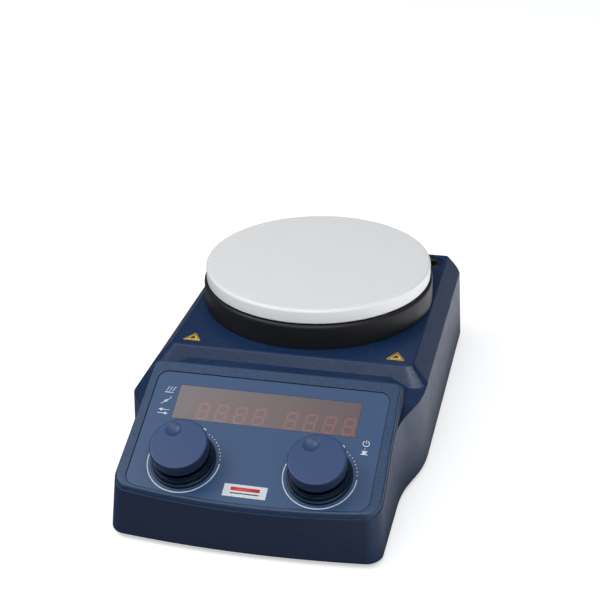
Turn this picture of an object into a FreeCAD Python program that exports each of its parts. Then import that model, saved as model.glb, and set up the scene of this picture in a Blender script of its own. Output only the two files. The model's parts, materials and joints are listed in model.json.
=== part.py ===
import FreeCAD, Part
import Sketcher
import math
import os

# Hotplate magnetic stirrer: a housing with a sloping control panel at the front and a round heating
# plate at the rear, over the motor that turns the drive magnets.
# Frame: +Z up, +Y towards the back, +X to the right seen from the front, origin on the table under
# the middle of the footprint. The control panel is a plane tilted about X, with its own
# coordinates: x (across), up (up the slope from its front edge) and out (along its normal).

Vector = FreeCAD.Vector
Placement = FreeCAD.Placement
Rotation = FreeCAD.Rotation
doc = FreeCAD.newDocument("magnetic_stirrer")
sheet = doc.addObject("Spreadsheet::Sheet", "dims")
sheet_rows = [0]


class Size:
    """A size: its value in mm and the spreadsheet expression that gives it."""

    def __init__(self, text, value):
        self.text, self.value = text, float(value)

    def bound(self):
        """True if the size depends on the sheet."""
        return "dims." in self.text

    def __add__(self, other):
        other = size(other)
        return Size("(%s + %s)" % (self.text, other.text), self.value + other.value)

    def __sub__(self, other):
        other = size(other)
        return Size("(%s - %s)" % (self.text, other.text), self.value - other.value)

    def __rsub__(self, other):
        return size(other) - self

    def __mul__(self, other):
        other = size(other)
        return Size("(%s * %s)" % (self.text, other.text), self.value * other.value)

    def __rmul__(self, other):
        return size(other) * self

    def __truediv__(self, other):
        other = size(other)
        return Size("(%s / %s)" % (self.text, other.text), self.value / other.value)

    def __neg__(self):
        return Size("(0 - %s)" % self.text, -self.value)

    def __float__(self):
        return self.value


def size(x):
    return x if isinstance(x, Size) else Size(repr(round(float(x), 6)), x)


def dim(alias, value, note):
    """Adds a driving dimension to the sheet and returns it as a size."""
    sheet_rows[0] += 1
    row = sheet_rows[0]
    sheet.set("A%d" % row, note)
    sheet.set("B%d" % row, str(value))
    sheet.setAlias("B%d" % row, alias)
    return Size("dims.%s" % alias, value)


# ---------------------------------------------------------------- driving dimensions (mm, degrees)
rear_y = dim("rear_y", 130, "rear face of the housing")
front_y = dim("front_y", -130, "foremost point of the housing at its lower edge")
half_w = dim("half_w", 80.4, "half width of the rear body at the lower edge")
half_w_top = dim("half_w_top", 78.4, "half width of the rear body at the shoulder edge")
half_n = dim("half_n", 71.6, "half width of the front block at the lower edge")
half_n_top = dim("half_n_top", 69.4, "half width of the front block at shoulder height")
bow = dim("bow", 4.4, "how far the front face bows forward in its middle")
lean = dim("lean", 5.5, "how far the front face leans back from lower edge to panel edge")
wall = dim("wall", 2.5, "housing wall")
skirt_z = dim("skirt_z", 3.0, "lower edge of the housing above the table")
shoulder_z = dim("shoulder_z", 47.4, "edge where the side face meets the shoulder")
deck_z = dim("deck_z", 57.0, "rear deck")
deck_half = dim("deck_half", 69.6, "half width of the flat deck")
deck_front = dim("deck_front", -19.2, "front edge of the flat deck")
valley_z = dim("valley_z", 51.5, "floor of the channel between deck and control panel")
channel_half = dim("channel_half", 58.0, "half width of the flat part of the channel floor")
panel_tilt = dim("panel_tilt", 24.0, "slope of the control panel in degrees")
panel_y = dim("panel_y", -124.5, "front edge of the control panel")
panel_z = dim("panel_z", 27.7, "height of that edge")
panel_len = dim("panel_len", 85.2, "length of the control panel up its slope")
bezel_t = dim("bezel_t", 2.2, "control bezel thickness")
over_half = dim("over_half", 63.5, "half width of the overlay")
over_top = dim("over_top", 77.8, "upper edge of the overlay")
over_low = dim("over_low", 6.4, "lower edge of the overlay at its corners")
over_t = dim("over_t", 0.5, "overlay thickness")
over_pocket = dim("over_pocket", 0.9, "depth of the overlay's pocket")
win_half = dim("win_half", 49.7, "half width of the display window")
win_low = dim("win_low", 48.5, "lower edge of the display window")
win_high = dim("win_high", 70.0, "upper edge of the display window")
knob_x = dim("knob_x", 35.9, "knob axes from the middle")
knob_s = dim("knob_s", 23.3, "knob axes up the panel")
knob_rad = dim("knob_rad", 15.1, "knob cap radius")
knob_top = dim("knob_top", 15.9, "face of the knob cap above the panel")
knob_low = dim("knob_low", 8.0, "lower rim of the knob cap above the panel")
collar_rad = dim("collar_rad", 17.0, "knob collar radius")
dimple_rad = dim("dimple_rad", 4.3, "finger dimple radius at the cap face")
dimple_deep = dim("dimple_deep", 1.3, "finger dimple depth")
shaft_rad = dim("shaft_rad", 3.0, "encoder shaft radius")
bush_rad = dim("bush_rad", 3.5, "encoder bushing radius")
plate_y = dim("plate_y", 57, "stirring axis behind the middle of the footprint")
plate_rad = dim("plate_rad", 67.5, "heating plate radius")
plate_top = dim("plate_top", 81, "work surface above the table")
plate_rim = dim("plate_rim", 72.5, "lower edge of the plate's rim")
plate_under = dim("plate_under", 76, "underside of the plate inside its rim")
plate_in = dim("plate_in", 64.5, "radius inside the plate's rim")
guard_rad = dim("guard_rad", 69.0, "plate skirt outside radius")
guard_in = dim("guard_in", 66.0, "plate skirt inside radius")
guard_top = dim("guard_top", 71.8, "plate skirt upper edge")
ledge_z = dim("ledge_z", 67.8, "ledge in the skirt that carries the heat shield")
opening_rad = dim("opening_rad", 55.0, "round opening in the deck")
heater_rad = dim("heater_rad", 60.0, "heater disc radius")
heater_in = dim("heater_in", 12.0, "heater disc hole radius")
heater_t = dim("heater_t", 2.0, "heater disc thickness")
insul_rad = dim("insul_rad", 64.0, "insulation disc radius")
insul_t = dim("insul_t", 5.1, "insulation disc thickness")
shield_rad = dim("shield_rad", 65.0, "heat shield radius")
shield_t = dim("shield_t", 1.0, "heat shield thickness")
bracket_rad = dim("bracket_rad", 65.0, "motor bracket radius")
bracket_z = dim("bracket_z", 49.0, "underside of the motor bracket")
bracket_t = dim("bracket_t", 2.0, "motor bracket thickness")
pillar_rad = dim("pillar_rad", 3.2, "plate pillar radius")
pillar_pcr = dim("pillar_pcr", 48.0, "plate pillars from the axis")
boss_pcr = dim("boss_pcr", 60.0, "bracket bosses from the axis")
motor_rad = dim("motor_rad", 21.0, "motor can radius")
motor_low = dim("motor_low", 20.0, "underside of the motor can")
motor_wall = dim("motor_wall", 2.0, "motor can wall")
motor_end = dim("motor_end", 5.0, "motor end plate thickness")
axle_rad = dim("axle_rad", 2.5, "motor shaft radius")
axle_low = dim("axle_low", 18.0, "lower end of the motor shaft")
axle_high = dim("axle_high", 61.0, "upper end of the motor shaft")
bearing_rad = dim("bearing_rad", 6.5, "motor bearing radius")
yoke_len = dim("yoke_len", 66.0, "magnet carrier length")
yoke_wide = dim("yoke_wide", 21.0, "magnet carrier width")
yoke_z = dim("yoke_z", 56.0, "underside of the magnet carrier's bar")
yoke_t = dim("yoke_t", 4.0, "magnet carrier bar thickness")
magnet_rad = dim("magnet_rad", 9.5, "drive magnet radius")
magnet_t = dim("magnet_t", 6.3, "drive magnet thickness")
magnet_x = dim("magnet_x", 22.0, "drive magnets from the axis")
rod_x = dim("rod_x", 59.8, "support rod socket across")
rod_y = dim("rod_y", 117.5, "support rod socket back")
rod_bore = dim("rod_bore", 4.25, "tapping radius of the support rod socket")
rod_deep = dim("rod_deep", 20.0, "depth of the support rod socket")
rod_rad = dim("rod_rad", 7.0, "support rod insert radius")
rod_recess = dim("rod_recess", 8.3, "radius of the recess round the insert")
foot_rad = dim("foot_rad", 8.0, "rubber foot radius")
foot_rear_x = dim("foot_rear_x", 66.0, "rear feet across")
foot_rear_y = dim("foot_rear_y", 102.0, "rear feet back")
foot_front_x = dim("foot_front_x", 58.0, "front feet across")
foot_front_y = dim("foot_front_y", -106.0, "front feet forward")
base_t = dim("base_t", 2.0, "base plate thickness")
board_t = dim("board_t", 1.6, "circuit board thickness")
board_z = dim("board_z", 10.0, "underside of the power board")
back_t = dim("back_t", 1.5, "rear panel thickness")
back_y = dim("back_y", 127.0, "outside of the rear panel")
inlet_x = dim("inlet_x", -42.0, "mains inlet across")
inlet_z = dim("inlet_z", 27.0, "mains inlet height")
switch_x = dim("switch_x", -8.0, "power switch across")
switch_z = dim("switch_z", 27.0, "power switch height")
socket_x = dim("socket_x", 30.0, "temperature sensor socket across")
socket_z = dim("socket_z", 27.0, "temperature sensor socket height")
doc.recompute()

# ---------------------------------------------------------------- places shared by several pieces
TILT = math.radians(panel_tilt.value)
COS_TILT, SIN_TILT = math.cos(TILT), math.sin(TILT)
PANEL_ROT = Rotation(Vector(1, 0, 0), panel_tilt.value)
TO_BACK = Rotation(Vector(1, 0, 0), -90)  # turns +Z to +Y
TO_RIGHT = Rotation(Vector(0, 1, 0), 90)  # turns +Z to +X

axis_y = plate_y.value
skirt = skirt_z.value
shoulder = shoulder_z.value
deck = deck_z.value
back = back_y.value


def ring_of_three(radius, start, x, y):
    """Three points evenly round (x, y), the first at start degrees."""
    angles = [math.radians(start + 120 * k) for k in range(3)]
    return [(x + radius * math.cos(a), y + radius * math.sin(a)) for a in angles]


# (x, y) of each fixing
PILLARS = ring_of_three(pillar_pcr.value, 90, 0, axis_y)
BOSSES = ring_of_three(boss_pcr.value, 30, 0, axis_y)
MOTOR_SCREWS = ring_of_three(14.0, 90, 0, axis_y)
FEET = [(foot_rear_x.value, foot_rear_y.value), (-foot_rear_x.value, foot_rear_y.value),
        (foot_front_x.value, foot_front_y.value), (-foot_front_x.value, foot_front_y.value)]
EDGE_SCREWS = [(72.0, 22.0), (-72.0, 22.0)]
LEADS = [(-6.0, 12.0), (6.0, 12.0)]
# (x, up) of the bezel's posts
BEZEL_POSTS = [(x, up) for x in (-49.2, 49.2) for up in (13.5, 73.5)]

# control board, out of the panel
CONTROL_BOARD_TOP = -9.5
CONTROL_BOARD_UNDER = CONTROL_BOARD_TOP - board_t.value

# screws: head radius, head height, shank radius, shank length
FOOT_SCREW = (3.2, 1.2, 1.4, 20.0)
EDGE_SCREW = (2.6, 1.2, 1.2, 14.0)
PILLAR_SCREW = (2.7, 1.7, 1.25, 8.5)
BRACKET_SCREW = (3.0, 1.7, 1.4, 6.3)
MOTOR_SCREW = (2.6, 1.6, 1.25, 6.0)
BOARD_SCREW = (2.6, 1.6, 1.25, 5.5)


def panel(x, up, out):
    """Panel coordinates to a point in the main frame."""
    x, up, out = float(x), float(up), float(out)
    return Vector(x, panel_y.value + up * COS_TILT - out * SIN_TILT,
                  panel_z.value + up * SIN_TILT + out * COS_TILT)


def on_panel(x, up, out):
    return Placement(panel(x, up, out), PANEL_ROT)


# ---------------------------------------------------------------- document objects
made = [0]
NODES = {}


def serial(kind):
    """A numbered name for an object that is not a finished piece."""
    made[0] += 1
    return "%s_%03d" % (kind, made[0])


def add(type_name, kind):
    return doc.addObject(type_name, serial(kind))


def bind(obj, prop, value):
    value = size(value)
    setattr(obj, prop, value.value)
    if value.bound():
        obj.setExpression(prop, value.text)


def put(obj, at, rot=None):
    """Places an object by a placement, or by x, y, z, where each that is a size is bound."""
    if isinstance(at, Placement):
        obj.Placement = at
        return obj
    at = [size(a) for a in at]
    obj.Placement = Placement(Vector(*[a.value for a in at]), rot or Rotation())
    for a, axis in zip(at, "xyz"):
        if a.bound():
            obj.setExpression("Placement.Base." + axis, a.text)
    return obj


def box(length, width, height, at):
    o = add("Part::Box", "box")
    bind(o, "Length", length)
    bind(o, "Width", width)
    bind(o, "Height", height)
    return put(o, at)


def cbox(length, width, height, x, y, z):
    """A box centred on x and y, standing on z."""
    return box(length, width, height, (size(x) - size(length) / 2, size(y) - size(width) / 2, z))


def rear_box(length, width, height, x, y, z):
    """A box centred on x and z, running back from y."""
    return box(length, width, height, (x - length / 2, y, z - height / 2))


def cyl(radius, height, at, rot=None):
    o = add("Part::Cylinder", "cyl")
    bind(o, "Radius", radius)
    bind(o, "Height", height)
    return put(o, at, rot)


def cyls(points, radius, height, z):
    """Upright cylinders at (x, y) points, standing on z."""
    return [cyl(radius, height, (x, y, z)) for x, y in points]


def cone(low_radius, high_radius, height, at):
    o = add("Part::Cone", "cone")
    bind(o, "Radius1", low_radius)
    bind(o, "Radius2", high_radius)
    bind(o, "Height", height)
    return put(o, at)


def sphere(radius, at):
    o = add("Part::Sphere", "sphere")
    bind(o, "Radius", radius)
    return put(o, at)


def hexagon(corner_radius, height, at, rot=None):
    o = add("Part::Prism", "hex")
    o.Polygon = 6
    bind(o, "Circumradius", corner_radius)
    bind(o, "Height", height)
    return put(o, at, rot)


def cut(base, *tools):
    for tool in tools:
        o = add("Part::Cut", "cut")
        o.Base, o.Tool = base, tool
        base = o
    return base


def fuse(*parts):
    o = add("Part::MultiFuse", "fuse")
    o.Shapes = list(parts)
    return o


def common(*parts):
    o = add("Part::MultiCommon", "common")
    o.Shapes = list(parts)
    return o


def group(parts):
    """Separate solids kept in one piece, such as a set of identical fasteners."""
    o = add("Part::Compound", "set")
    o.Links = list(parts)
    return o


def round_edges(base, radius, test):
    """Rounds the edges that test(edge) picks."""
    doc.recompute()
    picked = [i + 1 for i, e in enumerate(base.Shape.Edges) if test(e)]
    o = add("Part::Fillet", "fillet")
    o.Base = base
    o.Edges = [(i, float(radius), float(radius)) for i in picked]
    return o


def circular(edge):
    return isinstance(edge.Curve, Part.Circle)


def upright(edge):
    """True for an edge along Z."""
    return len(edge.Vertexes) == 2 and abs(edge.tangentAt(edge.FirstParameter).z) > 0.999


def node(obj, label):
    """Marks an object as a finished piece."""
    obj.Label = label
    NODES[label] = obj


def feature(shape):
    o = add("Part::Feature", "feature")
    o.Shape = shape
    return o


def screws(points, z, spec, head_down=True):
    """Cross-slot pan-head screws at (x, y) points. z is the plane that the head bears on."""
    head_r, head_h, shank_r, shank_l = spec
    head_z = z - head_h if head_down else z
    shank_z = z if head_down else z - shank_l
    slot_z = z - head_h - 0.001 if head_down else z + head_h * 0.5 + 0.001
    slot_long, slot_wide = 2 * head_r * 0.62, 0.7
    made_screws = []
    for x, y in points:
        body = fuse(cyl(head_r, head_h, (x, y, head_z)), cyl(shank_r, shank_l, (x, y, shank_z)))
        made_screws.append(cut(body, cbox(slot_long, slot_wide, head_h * 0.5, x, y, slot_z),
                               cbox(slot_wide, slot_long, head_h * 0.5, x, y, slot_z)))
    return made_screws


# ---------------------------------------------------------------- sketched bodies
def new_body():
    return add("PartDesign::Body", "body")


def new_sketch(body, role):
    """An empty sketch on one of the body's own origin planes."""
    sk = body.newObject("Sketcher::SketchObject", serial("sketch"))
    plane = [p for p in body.Origin.OriginFeatures if p.Role == role][0]
    sk.AttachmentSupport = [(plane, "")]
    sk.MapMode = "FlatFace"
    return sk


def constrain(sk, arguments, value):
    """Adds a sized constraint and ties it to the sheet."""
    index = sk.addConstraint(Sketcher.Constraint(*arguments, value.value))
    if value.bound():
        sk.setExpression("Constraints[%d]" % index, value.text)


def fix_point(sk, geometry, point, x, y):
    """Fixes a point from the origin. A zero coordinate puts it on the axis instead."""
    for kind, value, axis in (("DistanceX", x, -2), ("DistanceY", y, -1)):
        if abs(value.value) < 1e-9:
            sk.addConstraint(Sketcher.Constraint("PointOnObject", geometry, point, axis))
        else:
            constrain(sk, (kind, -1, 1, geometry, point), value)


def polygon_sketch(body, role, corners):
    sk = new_sketch(body, role)
    points = [(size(x), size(y)) for x, y in corners]
    count = len(points)
    for i in range(count):
        (x0, y0), (x1, y1) = points[i], points[(i + 1) % count]
        line = Part.LineSegment(Vector(x0.value, y0.value, 0), Vector(x1.value, y1.value, 0))
        sk.addGeometry(line, False)
    for i in range(count):
        sk.addConstraint(Sketcher.Constraint("Coincident", i, 2, (i + 1) % count, 1))
    for i, (x, y) in enumerate(points):
        fix_point(sk, i, 1, x, y)
    return sk


def circle_sketch(body, circles):
    """A sketch of (x, y, radius) circles on the XY plane."""
    sk = new_sketch(body, "XY_Plane")
    for circle in circles:
        x, y, radius = [size(c) for c in circle]
        shape = Part.Circle(Vector(x.value, y.value, 0), Vector(0, 0, 1), radius.value)
        index = sk.addGeometry(shape, False)
        constrain(sk, ("Radius", index), radius)
        fix_point(sk, index, 3, x, y)
    return sk


def add_pad(body, sk, length, name=None):
    pad = body.newObject("PartDesign::Pad", name or serial("pad"))
    pad.Profile = sk
    bind(pad, "Length", length)
    doc.recompute()
    return pad


def add_rounding(body, base, radius, test, name=None):
    names = ["Edge%d" % (i + 1) for i, e in enumerate(base.Shape.Edges) if test(e)]
    rounding = body.newObject("PartDesign::Fillet", name or serial("round"))
    rounding.Base = (base, names)
    rounding.Radius = float(radius)
    doc.recompute()
    return rounding


def add_through_pocket(body, sk, name=None):
    pocket = body.newObject("PartDesign::Pocket", name or serial("pocket"))
    pocket.Profile = sk
    pocket.Type = 1
    pocket.Midplane = True
    doc.recompute()
    return pocket


def turned(points, at, fillets=()):
    """A solid of revolution about its own Z, from a profile of (radius, height) corners.
    fillets is a list of (fillet radius, circle radius, circle height)."""
    body = new_body()
    sk = polygon_sketch(body, "XZ_Plane", points)
    last = body.newObject("PartDesign::Revolution", serial("rev"))
    last.Profile = sk
    last.ReferenceAxis = (sk, ["V_Axis"])
    last.Angle = 360
    doc.recompute()
    for fillet_radius, radius, height in fillets:
        def wanted(edge):
            c = edge.Curve
            return (circular(edge) and abs(c.Radius - float(radius)) < 0.02
                    and abs(c.Center.z - float(height)) < 0.02
                    and c.Center.x ** 2 + c.Center.y ** 2 < 0.01)

        last = add_rounding(body, last, fillet_radius, wanted)
    return put(body, at)


def turned_on_axis(points, fillets=()):
    """A solid of revolution about the stirring axis."""
    return turned(points, (0, plate_y, 0), fillets)


def circuit_board(corners, holes, hole_radius, at):
    body = new_body()
    pad = add_pad(body, polygon_sketch(body, "XY_Plane", corners), board_t)
    add_rounding(body, pad, 2.0, upright)
    add_through_pocket(body, circle_sketch(body, [(x, y, hole_radius) for x, y in holes]))
    return put(body, at)


# ---------------------------------------------------------------- fixed shapes
def bezier(poles):
    curve = Part.BezierCurve()
    curve.setPoles(poles)
    return curve.toShape()


def wire(pieces, place):
    """A wire of joined pieces: two points make a line, four the poles of a Bezier curve.
    place turns a piece's flat point into a vector."""
    edges = []
    for piece in pieces:
        points = [place(*p) for p in piece]
        edges.append(Part.makeLine(*points) if len(points) == 2 else bezier(points))
    return Part.Wire(edges)


def mirrored(points):
    """Points mirrored in x and taken in the opposite order."""
    return [(-x, y) for x, y in reversed(points)]


def bowed_edge(x, y, slope):
    """Poles of a bow from (x, y) to (-x, y), with the given slope at its ends."""
    middle = y - slope * x * 2 / 3
    return [(x, y), (x / 3, middle), (-x / 3, middle), (-x, y)]


def block(x0, x1, y0, y1, z0, z1):
    return Part.makeBox(x1 - x0, y1 - y0, z1 - z0, Vector(x0, y0, z0))


def layer(z0, z1, y1=200):
    """Everything from z0 to z1 in front of y1."""
    return block(-200, 200, -200, y1, z0, z1)


def post(x, y, radius, z0, z1):
    return Part.makeCylinder(radius, z1 - z0, Vector(x, y, z0))


def panel_box(x0, x1, up0, up1, out0, out1):
    b = Part.makeBox(x1 - x0, up1 - up0, out1 - out0)
    b.Placement = on_panel(x0, up0, out0)
    return b


def panel_cyl(x, up, radius, out0, out1):
    c = Part.makeCylinder(radius, out1 - out0)
    c.Placement = on_panel(x, up, out0)
    return c


def under_panel(out):
    """Everything below the plane at out from the panel."""
    return panel_box(-200, 200, -150, 250, out - 200, out)


def prism(points, axis, start, end):
    """A polygon extruded along an axis: points are (y, z) for X and (x, z) for Y."""
    if axis == "X":
        corners = [Vector(start, u, w) for u, w in points]
        travel = Vector(end - start, 0, 0)
    else:
        corners = [Vector(u, start, w) for u, w in points]
        travel = Vector(0, end - start, 0)
    return Part.Face(Part.makePolygon(corners + [corners[0]])).extrude(travel)


def fillet_first(shape, radii, test):
    """Rounds the edges that test picks with the first of radii that gives one sound solid."""
    edges = [e for e in shape.Edges if test(e)]
    for radius in radii:
        # makeFillet can fail at a radius. The next smaller one is then used.
        try:
            result = shape.makeFillet(radius, edges)
            if result.isValid() and result.Volume > 0.97 * shape.Volume and len(result.Solids) == 1:
                return result
        except Exception:
            pass
    return shape


# ---------------------------------------------------------------- housing
REAR_LEAN = 0.4  # how far the rear face leans forward from lower edge to shoulder
LOFT_TOP = 62.4  # height that the tapered walls are drawn up to
# side wall's curve from the wide to the narrow body: its rear and front ends in y
WAIST_RIGHT = (-22.0, -76.0)
WAIST_LEFT = (-55.0, -77.0)
WAIST_HANDLE = 0.48  # the curve's handles as a share of its length
bezel = bezel_t.value
channel_back_y = panel(0, panel_len, -bezel).y  # rear end of the front block's slope


def outline(z, inset, narrow):
    """The housing's plan at height z, drawn in by inset. narrow leaves out the wider rear body."""
    rise = (z - skirt) / (shoulder - skirt)
    wide = half_w.value + (half_w_top.value - half_w.value) * rise - inset
    slim = half_n.value + (half_n_top.value - half_n.value) * rise - inset
    if narrow:
        wide = slim
    rear = rear_y.value - REAR_LEAN * rise - inset
    front = front_y.value + lean.value * (z - skirt) / (panel_z.value - skirt) + inset
    rear_r = max(6.0 - inset * 0.6, 1.0)
    front_r = max(7.5 - inset * 0.6, 1.0)

    def waist(ends):
        y0, y1 = ends
        handle = (y0 - y1) * WAIST_HANDLE
        return [(wide, y0), (wide, y0 - handle), (slim, y1 + handle), (slim, y1)]

    rear_corner = [(wide - rear_r, rear), (wide - rear_r * 0.45, rear),
                   (wide, rear - rear_r * 0.45), (wide, rear - rear_r)]
    bow_x = slim - front_r
    bow_y = front + bow.value * (bow_x / slim) ** 2
    slope = 2 * bow.value * bow_x / slim ** 2
    corner_y = front + bow.value + front_r
    front_corner = [(slim, corner_y), (slim, corner_y - front_r * 0.5),
                    (bow_x + front_r * 0.5, bow_y + slope * front_r * 0.5), (bow_x, bow_y)]
    pieces = [
        [(-(wide - rear_r), rear), (wide - rear_r, rear)],
        rear_corner,
        [(wide, rear - rear_r), (wide, WAIST_RIGHT[0])],
        waist(WAIST_RIGHT),
        [(slim, WAIST_RIGHT[1]), (slim, corner_y)],
        front_corner,
        bowed_edge(bow_x, bow_y, slope),
        mirrored(front_corner),
        [(-slim, corner_y), (-slim, WAIST_LEFT[1])],
        mirrored(waist(WAIST_LEFT)),
        [(-wide, WAIST_LEFT[0]), (-wide, rear - rear_r)],
        mirrored(rear_corner),
    ]
    return wire(pieces, lambda x, y: Vector(x, y, z))


def loft(z0, z1, inset=0.0, narrow=False):
    return Part.makeLoft([outline(z0, inset, narrow), outline(z1, inset, narrow)], True, True)


def deck_wire(half, front, radius, z):
    """A rectangle whose two front corners are rounded over radius."""
    rear = rear_y.value - REAR_LEAN
    handle = 0.42 * radius
    corner = [(half, front + radius), (half, front + handle), (half - handle, front),
              (half - radius, front)]
    pieces = [
        [(-half, rear), (half, rear)],
        [(half, rear), (half, front + radius)],
        corner,
        [(half - radius, front), (-half + radius, front)],
        mirrored(corner),
        [(-half, front + radius), (-half, rear)],
    ]
    return wire(pieces, lambda x, y: Vector(x, y, z))


def housing_outside():
    lower = loft(skirt, LOFT_TOP).common(layer(skirt, shoulder)).common(under_panel(-bezel))
    front = deck_front.value
    mesa = Part.makeLoft([deck_wire(half_w_top.value, front - 7.2, 9.0, shoulder),
                          deck_wire(deck_half.value, front, 5.0, deck)], True, True)
    mesa = mesa.common(loft(shoulder - 1, deck + 1))
    wedge = loft(shoulder, LOFT_TOP, 0.0, True)
    wedge = wedge.common(layer(shoulder, shoulder + 40, channel_back_y))
    wedge = wedge.common(under_panel(-bezel))
    floor, floor_z = channel_half.value, valley_z.value
    valley = prism([(-69.6, shoulder), (-floor, floor_z), (floor, floor_z), (69.6, shoulder)],
                   "Y", channel_back_y - 0.5, front)
    outer = lower.fuse([mesa, wedge, valley]).removeSplitter()

    def deck_or_crease(edge):
        """The deck's outline, and the long creases between side faces and shoulder."""
        b = edge.BoundBox
        if abs(b.ZMin - deck) < 0.05 and abs(b.ZMax - deck) < 0.05:
            return True
        return (abs(b.ZMin - shoulder) < 0.05 and abs(b.ZMax - shoulder) < 0.05
                and abs(abs(b.Center.x) - half_w_top.value) < 0.3 and b.YLength > 50)

    outer = fillet_first(outer, (1.5, 1.2, 1.0), deck_or_crease)
    return fillet_first(outer, (1.0, 0.6), lambda e: e.BoundBox.ZMax < skirt + 0.05)


def housing_shell(outer):
    thick = wall.value
    low_room = loft(-1.0, LOFT_TOP, thick).common(layer(-1, shoulder - thick))
    low_room = low_room.common(under_panel(-bezel - thick)).common(layer(-10, 190, back))
    deck_room = block(-66, 66, -14, back, 40, deck - thick)
    front_room = block(-66, 66, -121, -49, 30, 70).common(under_panel(-bezel - thick))
    panel_opening = panel_box(-54, 54, 8, 78, -15, 5)
    return outer.cut(low_room.fuse([deck_room, front_room, panel_opening]))


def upper_housing():
    outer = housing_outside()
    shell = housing_shell(outer)
    socket_x0, socket_y0 = rod_x.value, rod_y.value
    base_top = skirt + base_t.value
    bracket_top = bracket_z.value + bracket_t.value
    post_top = deck - 1.0

    posts = [post(x, y, 4.0, base_top, post_top) for x, y in FEET]
    posts += [post(x, y, 3.5, base_top, post_top) for x, y in EDGE_SCREWS]
    posts += [post(x, y, 4.0, bracket_top, post_top) for x, y in BOSSES]
    # the rod socket's post stops just short of the rear panel
    rear_limit = back - back_t.value - 0.1
    rod_post = post(socket_x0, socket_y0, 10.0, deck - 30.0, post_top)
    posts.append(rod_post.common(block(socket_x0 - 30, socket_x0 + 30, rear_limit - 60, rear_limit,
                                       deck - 40, deck + 20)))

    tools = [post(0, axis_y, opening_rad.value, deck - 8, deck + 5),
             block(-65, 65, 126.4, 138.4, 11, 43)]
    tools += [post(x, y, 1.45, 0, 24.0) for x, y in FEET]
    tools += [post(x, y, 1.25, 0, 20.0) for x, y in EDGE_SCREWS]
    tools += [post(x, y, 1.45, 48, deck - 1.2) for x, y in BOSSES]
    tools += [post(socket_x0, socket_y0, rod_rad.value + 0.05, deck - 26.0, deck + 5),
              post(socket_x0, socket_y0, rod_recess.value, deck - 1.2, deck + 5)]

    housing = shell.fuse([p.common(outer) for p in posts])
    for tool in tools:
        housing = housing.cut(tool)
    return housing.removeSplitter()


node(feature(upper_housing()), "upper_housing")

# ---------------------------------------------------------------- control bezel and overlay
knob_axis_x, knob_axis_up = knob_x.value, knob_s.value
pocket_floor = -over_pocket.value


def out_of_panel(point):
    """A point's distance out of the panel."""
    offset = point.sub(panel(0, 0, 0))
    return -offset.y * SIN_TILT + offset.z * COS_TILT


def overlay_wire(grow, out):
    """The overlay's outline: straight sides, a bowed lower edge and rounded corners."""
    half, top, low = over_half.value + grow, over_top.value + grow, over_low.value - grow
    radius = 5.5 + grow
    depth = 4.3
    handle = radius * 0.45
    bow_x = half - radius
    slope = 2 * depth * bow_x / half ** 2
    bow_up = low - depth + depth * (bow_x / half) ** 2
    top_corner = [(bow_x, top), (half - handle, top), (half, top - handle), (half, top - radius)]
    low_corner = [(half, low + radius), (half, low + handle),
                  (bow_x + handle, bow_up + slope * handle), (bow_x, bow_up)]
    pieces = [
        [(-bow_x, top), (bow_x, top)],
        top_corner,
        [(half, top - radius), (half, low + radius)],
        low_corner,
        bowed_edge(bow_x, bow_up, slope),
        mirrored(low_corner),
        [(-half, low + radius), (-half, top - radius)],
        mirrored(top_corner),
    ]
    return wire(pieces, lambda x, up: panel(x, up, out))


def overlay_solid(grow, out0, out1):
    normal = Vector(0, -SIN_TILT, COS_TILT)
    return Part.Face(overlay_wire(grow, out0)).extrude(normal * (out1 - out0))


def window_box(grow, out0, out1):
    half = win_half.value + grow
    return panel_box(-half, half, win_low.value - grow, win_high.value + grow, out0, out1)


def control_bezel():
    slab = panel_box(-200, 200, -20, panel_len.value, -bezel, 0)
    shape = loft(20.0, 66.0, 0.35, True).common(slab).removeSplitter()

    def rear_corner(edge):
        ends = [out_of_panel(v.Point) for v in edge.Vertexes]
        return (len(ends) == 2 and abs(ends[0] - ends[1]) > bezel - 0.5
                and edge.BoundBox.YMax > channel_back_y - 3)

    def top_rim(edge):
        middle = edge.valueAt((edge.FirstParameter + edge.LastParameter) / 2)
        points = [v.Point for v in edge.Vertexes] + [middle]
        return all(abs(out_of_panel(p)) < 0.02 for p in points)

    shape = fillet_first(shape, (4.2, 4.0, 3.0, 1.0), rear_corner)
    shape = fillet_first(shape, (1.5, 1.3, 1.1, 0.9, 0.6), top_rim)
    shape = shape.cut([overlay_solid(0.35, pocket_floor, 3.0), window_box(0, -5, 3),
                       panel_cyl(knob_axis_x, knob_axis_up, 3.7, -5, 3),
                       panel_cyl(-knob_axis_x, knob_axis_up, 3.7, -5, 3)])
    shape = shape.fuse([panel_cyl(x, up, 2.6, CONTROL_BOARD_TOP, -bezel + 0.5)
                        for x, up in BEZEL_POSTS])
    shape = shape.cut([panel_cyl(x, up, 1.05, -10, -5.0) for x, up in BEZEL_POSTS])
    return shape.removeSplitter()


node(feature(control_bezel()), "control_bezel")

overlay = overlay_solid(0.0, pocket_floor, pocket_floor + over_t.value)
overlay = overlay.cut([window_box(0.06, -2, 2),
                       panel_cyl(knob_axis_x, knob_axis_up, 9.0, -2, 2),
                       panel_cyl(-knob_axis_x, knob_axis_up, 9.0, -2, 2)])
node(feature(overlay), "control_overlay")
window_gap = 0.05  # clearance all round
node(box(2 * win_half - 2 * window_gap, win_high - win_low - 2 * window_gap, 2.15,
         on_panel(-win_half.value + window_gap, win_low.value + window_gap, -2.6)),
     "display_window")
node(feature(panel_box(-11.3, 11.3, 5.7, 12.9, -0.4, -0.25)), "blank_nameplate")


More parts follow.
